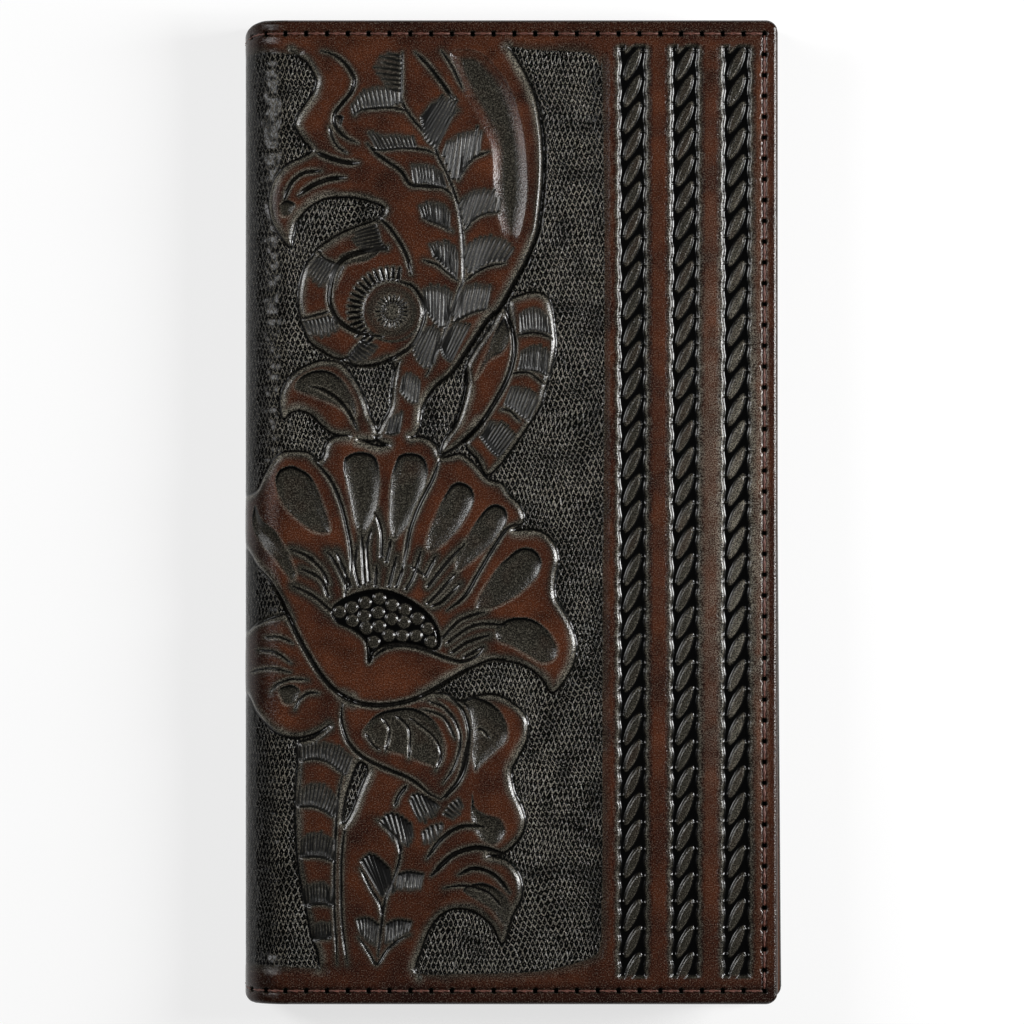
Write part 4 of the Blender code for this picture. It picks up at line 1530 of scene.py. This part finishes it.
@dataclass(frozen=True)
class FloorFinish:
    """A pale floor that reads white where it is lit and keeps the shadow."""

    pale: Colour = (0.93, 0.93, 0.93)
    lift: float = 0.72

    def make(self) -> bpy.types.Material:
        """Builds the material."""
        g = Graph("studio_floor")
        paths = g.nodes.new("ShaderNodeLightPath")
        seen = g.plus(paths.outputs["Is Camera Ray"], paths.outputs["Is Glossy Ray"], clamp=True)
        seen = g.plus(seen, paths.outputs["Is Transmission Ray"], clamp=True)
        diffuse = g.nodes.new("ShaderNodeBsdfDiffuse")
        g.put(diffuse.inputs[0], self.pale)
        glow = g.nodes.new("ShaderNodeEmission")
        blend = g.nodes.new("ShaderNodeMixShader")
        g.put(blend.inputs[0], g.times(seen, self.lift))
        g.put(blend.inputs[1], diffuse.outputs[0])
        g.put(blend.inputs[2], glow.outputs[0])
        g.put(g.output.inputs["Surface"], blend.outputs[0])
        return g.material


def new_object(name: str, bm: bmesh.types.BMesh, material: bpy.types.Material) -> bpy.types.Object:
    """Makes an object of a bmesh, smooth shaded, at the origin."""
    mesh = bpy.data.meshes.new(name)
    bm.to_mesh(mesh)
    bm.free()
    mesh.materials.append(material)
    mesh.shade_smooth()
    obj = bpy.data.objects.new(name, mesh)
    bpy.context.scene.collection.objects.link(obj)
    return obj


@dataclass(frozen=True)
class Stretch:
    """A stretch of leather: its part of the plan and how finely it is meshed."""

    name: str
    side: Side
    first: float
    last: float
    step: float


# The fold's three strips: name, half that they are measured from, the two bodies that each lies
# between, and where it leaves one and reaches the other, in degrees from the half's fold line.
FOLDS: tuple[tuple[str, Side, str, str, tuple[float, float]], ...] = (
    ("back", Side.BACK, "back_half", "spine_1", (3.0, 57.0)),
    ("middle", Side.FRONT, "spine_1", "spine_2", (117.0, 63.0)),
    ("front", Side.FRONT, "spine_2", "front_half", (57.0, 3.0)),
)


@dataclass
class LeatherSkin:
    """The tooled leather itself, both covers and the fold, as closed pieces that meet.

    The sides of a piece go down in rows, each a share of the thickness deep and a little further
    in at the foot.
    """

    plan: CoverPlan
    tooling: Tooling
    material: bpy.types.Material
    fold_material: bpy.types.Material
    fronts: int = 5
    backs: int = 2
    front_step: float = 0.19
    back_step: float = 0.3
    fold_step: float = 0.21
    side_rows: tuple[Point, ...] = ((0.68, 0.0), (0.9, 0.16), (1.0, 0.5))
    edge_dye: float = 0.82
    pieces: list[bpy.types.Object] = field(default_factory=list)

    def piece(self, stretch: Stretch) -> bpy.types.Object:
        """Makes one closed piece of leather with its relief.

        Args:
            stretch: What part of the leather it is.

        Returns:
            The finished object.
        """
        plan = self.plan
        across = math.ceil((stretch.last - stretch.first) / stretch.step)
        upward = math.ceil(2 * plan.half_height / stretch.step)
        bm = bmesh.new()
        bmesh.ops.create_grid(bm, x_segments=across, y_segments=upward, size=0.5)
        middle = (stretch.first + stretch.last) / 2
        bmesh.ops.scale(bm, vec=(stretch.last - stretch.first, 2 * plan.half_height, 1), verts=bm.verts)
        bmesh.ops.translate(bm, vec=(middle, 0, 0), verts=bm.verts)
        count = len(bm.verts)
        rim = [edge for edge in bm.edges if edge.is_boundary]
        for depth, inset in self.side_rows:
            made = bmesh.ops.extrude_edge_only(bm, edges=rim)["geom"]
            rim = [item for item in made if isinstance(item, bmesh.types.BMEdge) and item.is_boundary]
            for vert in {vert for edge in rim for vert in edge.verts}:
                vert.co.z = -depth * plan.leather
                if inset:
                    end = plan.half_height - inset
                    vert.co.y = min(max(vert.co.y, -end), end)
                    if stretch.last > plan.reach - SMALL:
                        vert.co.x = min(vert.co.x, plan.reach - inset)
        bmesh.ops.contextual_create(bm, geom=rim)
        if stretch.first < 0:
            for cut in np.arange(stretch.first + 1, stretch.last - 0.4, 1.0):
                low = [face for face in bm.faces if len(face.verts) > 4 and face.normal.z < -0.5]
                geom = low + [e for f in low for e in f.edges] + [v for f in low for v in f.verts]
                geom = list(dict.fromkeys(geom))
                bmesh.ops.bisect_plane(bm, geom=geom, plane_co=(cut, 0, 0), plane_no=(1, 0, 0))
        bmesh.ops.recalc_face_normals(bm, faces=bm.faces)
        if stretch.side is Side.BACK:
            bmesh.ops.reverse_faces(bm, faces=bm.faces)
        obj = new_object(stretch.name, bm, self.fold_material if stretch.first < 0 else self.material)
        self.shape(obj.data, count, stretch.side)
        self.pieces.append(obj)
        log.info("%s: %d faces", stretch.name, len(obj.data.polygons))
        return obj

    def shape(self, mesh: bpy.types.Mesh, count: int, side: Side) -> None:
        """Presses the relief into a flat blank and lays it in place.

        Args:
            mesh: The blank, still in the flat plan.
            count: How many of its first vertices are the outer face.
            side: The half that the blank is measured from.
        """
        plan, tooling = self.plan, self.tooling
        flat = np.empty(len(mesh.vertices) * 3)
        mesh.vertices.foreach_get("co", flat)
        laid_out = mesh.attributes.new("plan", "FLOAT_VECTOR", "POINT")
        laid_out.data.foreach_set("vector", flat.astype(np.float32))
        q, v, up = flat.reshape(-1, 3).T.copy()
        turned = q < plan.fold_middle
        on_canvas = np.where(turned, 2 * plan.fold_middle - q, q)
        outer = np.arange(len(q)) < count
        height = tooling.sample(tooling.height, on_canvas, v)
        rim_fall = tooling.sample(tooling.fall, on_canvas, v)
        up = np.where(outer, height, np.minimum(up, rim_fall))
        places = plan.bend(q, v, up, side)
        mesh.vertices.foreach_set("co", places.ravel().astype(np.float32))
        layers = {"dye": tooling.dye, "sheen_and_wear": tooling.sheen_and_wear, "burn_and_shade": tooling.burn_and_shade, "matted": tooling.matted,
                  "dull": tooling.dull}
        for name, layer in layers.items():
            beyond = self.edge_dye if name == "dye" else 0.0
            values = np.where(outer, tooling.sample(layer, on_canvas, v), beyond)
            attribute = mesh.attributes.new(name, "FLOAT", "POINT")
            attribute.data.foreach_set("value", values.astype(np.float32))
        slope_q = tooling.sample(tooling.slope_q, on_canvas, v) * np.where(turned, -1, 1)
        slope_v = tooling.sample(tooling.slope_v, on_canvas, v)
        turn = np.clip(-q, 0, None) / plan.radius
        along = np.stack([np.cos(turn), 0 * q, side.value * np.sin(turn)], axis=-1)
        out = np.stack([-np.sin(turn), 0 * q, side.value * np.cos(turn)], axis=-1)
        normals = out - along * slope_q[:, None] - np.array([0, 1, 0]) * slope_v[:, None]
        normals /= np.linalg.norm(normals, axis=1)[:, None]
        normals[~outer] = 0
        mesh.update()
        mesh.normals_split_custom_set_from_vertices(normals)

    def build(self) -> None:
        """Makes all pieces, front, fold and back, and says what the front and back pieces ride on."""
        plan = self.plan
        third = plan.radius * math.pi / 3
        for index in range(self.fronts):
            ends = (plan.reach * index / self.fronts, plan.reach * (index + 1) / self.fronts)
            piece = self.piece(Stretch(f"front_leather_{index + 1}", Side.FRONT, *ends, self.front_step))
            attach(piece, "front_half")
        for index in range(self.backs):
            ends = (plan.reach * index / self.backs, plan.reach * (index + 1) / self.backs)
            piece = self.piece(Stretch(f"back_leather_{index + 1}", Side.BACK, *ends, self.back_step))
            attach(piece, "back_half")
        stretches = ((-third, 0.0), (-2 * third, -third), (-third, 0.0))
        for (name, side, body, other, turns), ends in zip(FOLDS, stretches):
            obj = self.piece(Stretch(f"fold_leather_{name}", side, *ends, self.fold_step))
            plan.spot(turns[0], side)
            plan.spot(turns[1], side)
            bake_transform(obj)
        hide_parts("front_cover")
        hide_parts("back_cover")
        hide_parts("spine_leather_1", "spine_leather_2")
        for obj in self.pieces:
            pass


@dataclass
class Sewing:
    """Twisted stitches from hole to hole, round each half and over the ends of the fold."""

    plan: CoverPlan
    material: bpy.types.Material
    ply: float = 0.155
    turns: float = 1.1
    rings: int = 7
    corners: int = 5
    twist: float = 0.8
    dip: float = 0.25
    hole_inset: float = 0.38
    lift: float = 0.05
    fold_lift: float = -0.2
    fold_from: float = -4.0
    longest: float = 8.0

    def stitch(self, bm: bmesh.types.BMesh, start: Vector, end: Vector, lift: float) -> None:
        """Lays one stitch of two twisted plies between two holes.

        Args:
            bm: The mesh that takes it, in the flat plan.
            start: The first hole.
            end: The second hole.
            lift: How high the middle of the stitch lies.
        """
        way = end - start
        length = way.length
        way.normalize()
        across = Vector((-way.y, way.x, 0))
        for ply in (0, 1):
            made = bmesh.ops.create_circle(bm, cap_ends=True, segments=self.corners, radius=self.ply)
            ring = list(dict.fromkeys(edge for vert in made["verts"] for edge in vert.link_edges))
            turned = Matrix((across, (0, 0, 1), way)).transposed().to_4x4()
            bmesh.ops.transform(bm, matrix=turned, verts=made["verts"])
            bmesh.ops.translate(bm, vec=start, verts=made["verts"])
            centre = start.copy()
            for step in range(1, self.rings + 1):
                share = step / self.rings
                turn = 2 * math.pi * (self.turns * share + ply / 2)
                arch = math.sin(math.pi * share)
                off = (across * math.cos(turn) + Vector((0, 0, math.sin(turn)))) * (self.ply * self.twist)
                rise = Vector((0, 0, lift * arch - self.dip * (1 - arch)))
                new = start + way * (length * share) + rise + off * arch
                made = bmesh.ops.extrude_edge_only(bm, edges=ring)["geom"]
                verts = [item for item in made if isinstance(item, bmesh.types.BMVert)]
                ring = [item for item in made if isinstance(item, bmesh.types.BMEdge)
                        and all(vert in verts for vert in item.verts)]
                bmesh.ops.translate(bm, vec=new - centre, verts=verts)
                centre = new
            bmesh.ops.contextual_create(bm, geom=ring)

    def seam(self, name: str, side: Side, spots: np.ndarray) -> bpy.types.Object:
        """Makes a run of stitches and lays it on the leather.

        Args:
            name: The piece's name.
            side: The half that the holes are measured from.
            spots: Pairs of holes, as rows of q, v, q and v.

        Returns:
            The finished object.
        """
        bm = bmesh.new()
        for a, b, c, d in spots:
            start, end = Vector((a, b, 0.0)), Vector((c, d, 0.0))
            inset = (end - start).normalized() * self.hole_inset
            lift = self.lift if start.x > self.fold_from else self.fold_lift
            self.stitch(bm, start + inset, end - inset, lift)
        bmesh.ops.recalc_face_normals(bm, faces=bm.faces)
        if side is Side.BACK:
            bmesh.ops.reverse_faces(bm, faces=bm.faces)
        obj = new_object(name, bm, self.material)
        flat = np.empty(len(obj.data.vertices) * 3)
        obj.data.vertices.foreach_get("co", flat)
        q, v, up = flat.reshape(-1, 3).T
        obj.data.vertices.foreach_set("co", self.plan.bend(q, v, up, side).ravel().astype(np.float32))
        obj.data.update()
        log.info("%s: %d stitches", name, len(spots))
        return obj

    def build(self, holes: np.ndarray) -> None:
        """Sews both halves and the fold.

        Args:
            holes: One half's holes, as rows of q and v.
        """
        plan = self.plan
        third = plan.radius * math.pi / 3
        pairs = np.concatenate([holes[:-1], holes[1:]], axis=1)
        pairs = pairs[np.hypot(pairs[:, 0] - pairs[:, 2], pairs[:, 1] - pairs[:, 3]) < self.longest]
        middle = (pairs[:, 0] + pairs[:, 2]) / 2
        for side, body, node in ((Side.FRONT, "front_half", "front_seam_thread"),
                                 (Side.BACK, "back_half", "back_seam_thread")):
            obj = self.seam(f"{body}_stitches", side, pairs[middle > 0])
            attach(obj, body)
            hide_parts(node)
        near = pairs[(middle <= 0) & (middle > -third)]
        mid = pairs[middle <= -third]
        mirror = mid.copy()
        mirror[:, [0, 2]] = 2 * plan.fold_middle - mirror[:, [0, 2]]
        bridge = []
        for v in (holes[0, 1], holes[-1, 1]):
            bridge.append([2 * plan.fold_middle - holes[0, 0], v, holes[0, 0], v])
        runs = (near, np.concatenate([mid, mirror, bridge]), near)
        for (name, side, body, other, turns), spots in zip(FOLDS, runs):
            if len(spots):
                obj = self.seam(f"fold_stitches_{name}", side, spots)
                plan.spot(turns[0], side)
                plan.spot(turns[1], side)
                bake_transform(obj)


@dataclass
class Interior:
    """Linings, pockets, card slots and the identity-card window, dressed and sewn."""

    plan: CoverPlan
    sewing: Sewing
    slots: bpy.types.Material
    pocket: bpy.types.Material
    lining: bpy.types.Material
    thread: bpy.types.Material
    vinyl: bpy.types.Material
    pitch: float = 3.8
    hole_inset: float = 0.35
    lift: float = 0.1
    cord_middle: float = 0.3
    fold_side: float = 1.9
    highest_step: float = 0.7

    def build(self) -> None:
        """Gives each carried-over node its finish and sews the pockets down."""
        finishes = {"pocket_leather": self.pocket, "lining": self.lining, "thread": self.thread,
                    "clear_plastic": self.vinyl}
        for row in frame["record"]["subparts"]:
            finish = self.slots if "card_slot" in row["node"] else finishes.get(row["material_slot"])
            node = frame["nodes"].get(row["node"])
            if finish is None or node is None:
                continue
            for slot in node.material_slots:
                slot.material = finish
            log.info("%s: dressed", row["node"])
        end, free = self.plan.half_height - SEAM_INSET, self.plan.fold_x + self.plan.reach - SEAM_INSET
        fold = self.plan.fold_x + self.fold_side
        for side, half in ((Side.BACK, "back"), (Side.FRONT, "front")):
            runs = [((fold, -end), (free, -end), (free, end), (fold, end)), ((fold, -end), (fold, end))]
            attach(self.run(f"{half}_pocket_stitches", side, half, runs), f"{half}_half")
        cord = frame["nodes"]["window_frame_thread"]
        corners = [cord.matrix_world @ Vector(corner) / MM for corner in cord.bound_box]
        low, high = np.array(corners).min(0) + self.cord_middle, np.array(corners).max(0) - self.cord_middle
        left, foot, right, top = float(low[0]), float(low[1]), float(high[0]), float(high[1])
        ring = ((left, foot), (right, foot), (right, top), (left, top), (left, foot))
        obj = self.run("window_stitches", Side.FRONT, "front", [ring])
        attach(obj, "front_half")
        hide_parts("window_frame_thread")

    def skin(self, half: str) -> BVHTree:
        """The surfaces that face the other half when the wallet is closed."""
        verts, faces = [], []
        kinds = (half, "window_frame") if half == "front" else (half,)
        for name, node in frame["nodes"].items():
            if not name.startswith(kinds) or "thread" in name:
                continue
            first = len(verts)
            verts += [node.matrix_world @ vert.co for vert in node.data.vertices]
            faces += [[first + index for index in face.vertices] for face in node.data.polygons]
        return BVHTree.FromPolygons(verts, faces)

    def run(self, name: str, side: Side, half: str, runs: list[tuple[Point, ...]]) -> bpy.types.Object:
        """Sews along straight runs, over whatever lies uppermost there.

        Args:
            name: The piece's name.
            side: The half that is sewn.
            half: What that half's nodes are called.
            runs: Corner points of each run, in millimetres.

        Returns:
            The finished stitches.
        """
        tree, bm, count = self.skin(half), bmesh.new(), 0
        radius = self.plan.radius
        for corners in runs:
            for start, end in zip(corners, corners[1:]):
                length = math.dist(start, end)
                spots = []
                for share in np.linspace(0, 1, max(2, round(length / self.pitch) + 1)):
                    x, y = (start[k] + (end[k] - start[k]) * share for k in (0, 1))
                    hit = tree.ray_cast(Vector((x, y, radius)) * MM, Vector((0, 0, side.value)))
                    spots.append(Vector((x, y, -hit[3] / MM)) if hit[0] else None)
                for here, there in zip(spots, spots[1:]):
                    if here is None or there is None or abs(here.z - there.z) > self.highest_step:
                        continue
                    inset = (there - here).normalized() * self.hole_inset
                    self.sewing.stitch(bm, here + inset, there - inset, self.lift)
                    count += 1
        bmesh.ops.recalc_face_normals(bm, faces=bm.faces)
        for vert in bm.verts:
            vert.co = Vector((vert.co.x, vert.co.y, radius - side.value * vert.co.z)) * MM
        if side is Side.FRONT:
            bmesh.ops.reverse_faces(bm, faces=bm.faces)
        obj = new_object(name, bm, self.thread)
        log.info("%s: %d stitches", name, count)
        return obj


@dataclass(frozen=True)
class SoftBox:
    """A large soft lamp beside the table."""

    name: str
    place: tuple[float, float, float]
    size: Point
    power: float

    def build(self) -> None:
        """Hangs the lamp and turns it to the wallet."""
        light = bpy.data.lights.new(self.name, "AREA")
        light.shape, light.size, light.size_y, light.energy = "RECTANGLE", *self.size, self.power
        obj = bpy.data.objects.new(self.name, light)
        obj.location = self.place
        obj.rotation_euler = (-Vector(self.place)).to_track_quat("-Z", "Y").to_euler()
        bpy.context.scene.collection.objects.link(obj)


@dataclass
class Studio:
    """Camera, floor and soft lamps."""

    face: float
    lens: float = 200.0
    sensor: float = 36.0
    view_width: float = 0.1851
    aim: Point = (-0.00042, 0.00005)
    floor_half: float = 4.0
    floor_below: float = 0.4
    clip: Point = (0.01, 50.0)
    sky: float = 0.03
    lamps: tuple[SoftBox, ...] = (
        SoftBox("left_soft_box", (-0.50, 0.18, 0.42), (0.16, 0.36), 2.6),
        SoftBox("right_soft_box", (0.55, 0.08, 0.36), (0.16, 0.36), 5.0),
        SoftBox("near_soft_box", (0.33, 0.03, 0.24), (0.05, 0.16), 0.38),
    )

    def build(self) -> None:
        """Sets up the view and the light."""
        scene = bpy.context.scene
        camera = bpy.data.cameras.new("camera")
        camera.lens, camera.sensor_width = self.lens, self.sensor
        eye = bpy.data.objects.new("camera", camera)
        away = self.view_width * self.lens / self.sensor
        eye.location = (*self.aim, self.face + away)
        camera.clip_start, camera.clip_end = self.clip
        scene.collection.objects.link(eye)
        scene.camera = eye
        scene.view_settings.view_transform = "Standard"
        bm = bmesh.new()
        bmesh.ops.create_grid(bm, x_segments=1, y_segments=1, size=self.floor_half)
        bmesh.ops.translate(bm, vec=(0, 0, -self.floor_below * MM), verts=bm.verts)
        floor = new_object("floor", bm, FloorFinish().make())
        world = bpy.data.worlds.new("studio")
        world.use_nodes = True
        background = world.node_tree.nodes["Background"]
        background.inputs[0].default_value, background.inputs[1].default_value = (1, 1, 1, 1), self.sky
        scene.world = world
        for lamp in self.lamps:
            lamp.build()


def main() -> None:
    """Builds the wallet's looks and its studio."""
    logging.basicConfig(level=logging.INFO, format="%(name)s: %(message)s")
    plan = cover_plan()
    tooling = Tooling(plan, PhotoPlan())
    tooling.ground()
    tooling.hollows()
    tooling.cuts()
    tooling.seed_pod()
    tooling.rosette()
    tooling.ropes()
    holes = seam_holes(plan)
    tooling.border()
    tooling.holes(holes)
    tooling.finish()
    log.info("tooling: %d by %d cells", *tooling.cut.shape)
    thread = ThreadFinish().make()
    leather, fold = TooledFinish().make(), TooledFinish("tooled_leather_fold", gloss=0.15).make()
    LeatherSkin(plan, tooling, leather, fold).build()
    sewing = Sewing(plan, thread)
    sewing.build(holes)
    Interior(plan, sewing, PocketFinish(True).make(), PocketFinish(False).make(), LiningFinish().make(),
             thread, VinylFinish().make()).build()
    Studio(face=2 * plan.radius * MM).build()


if __name__ == "__main__":
    main()
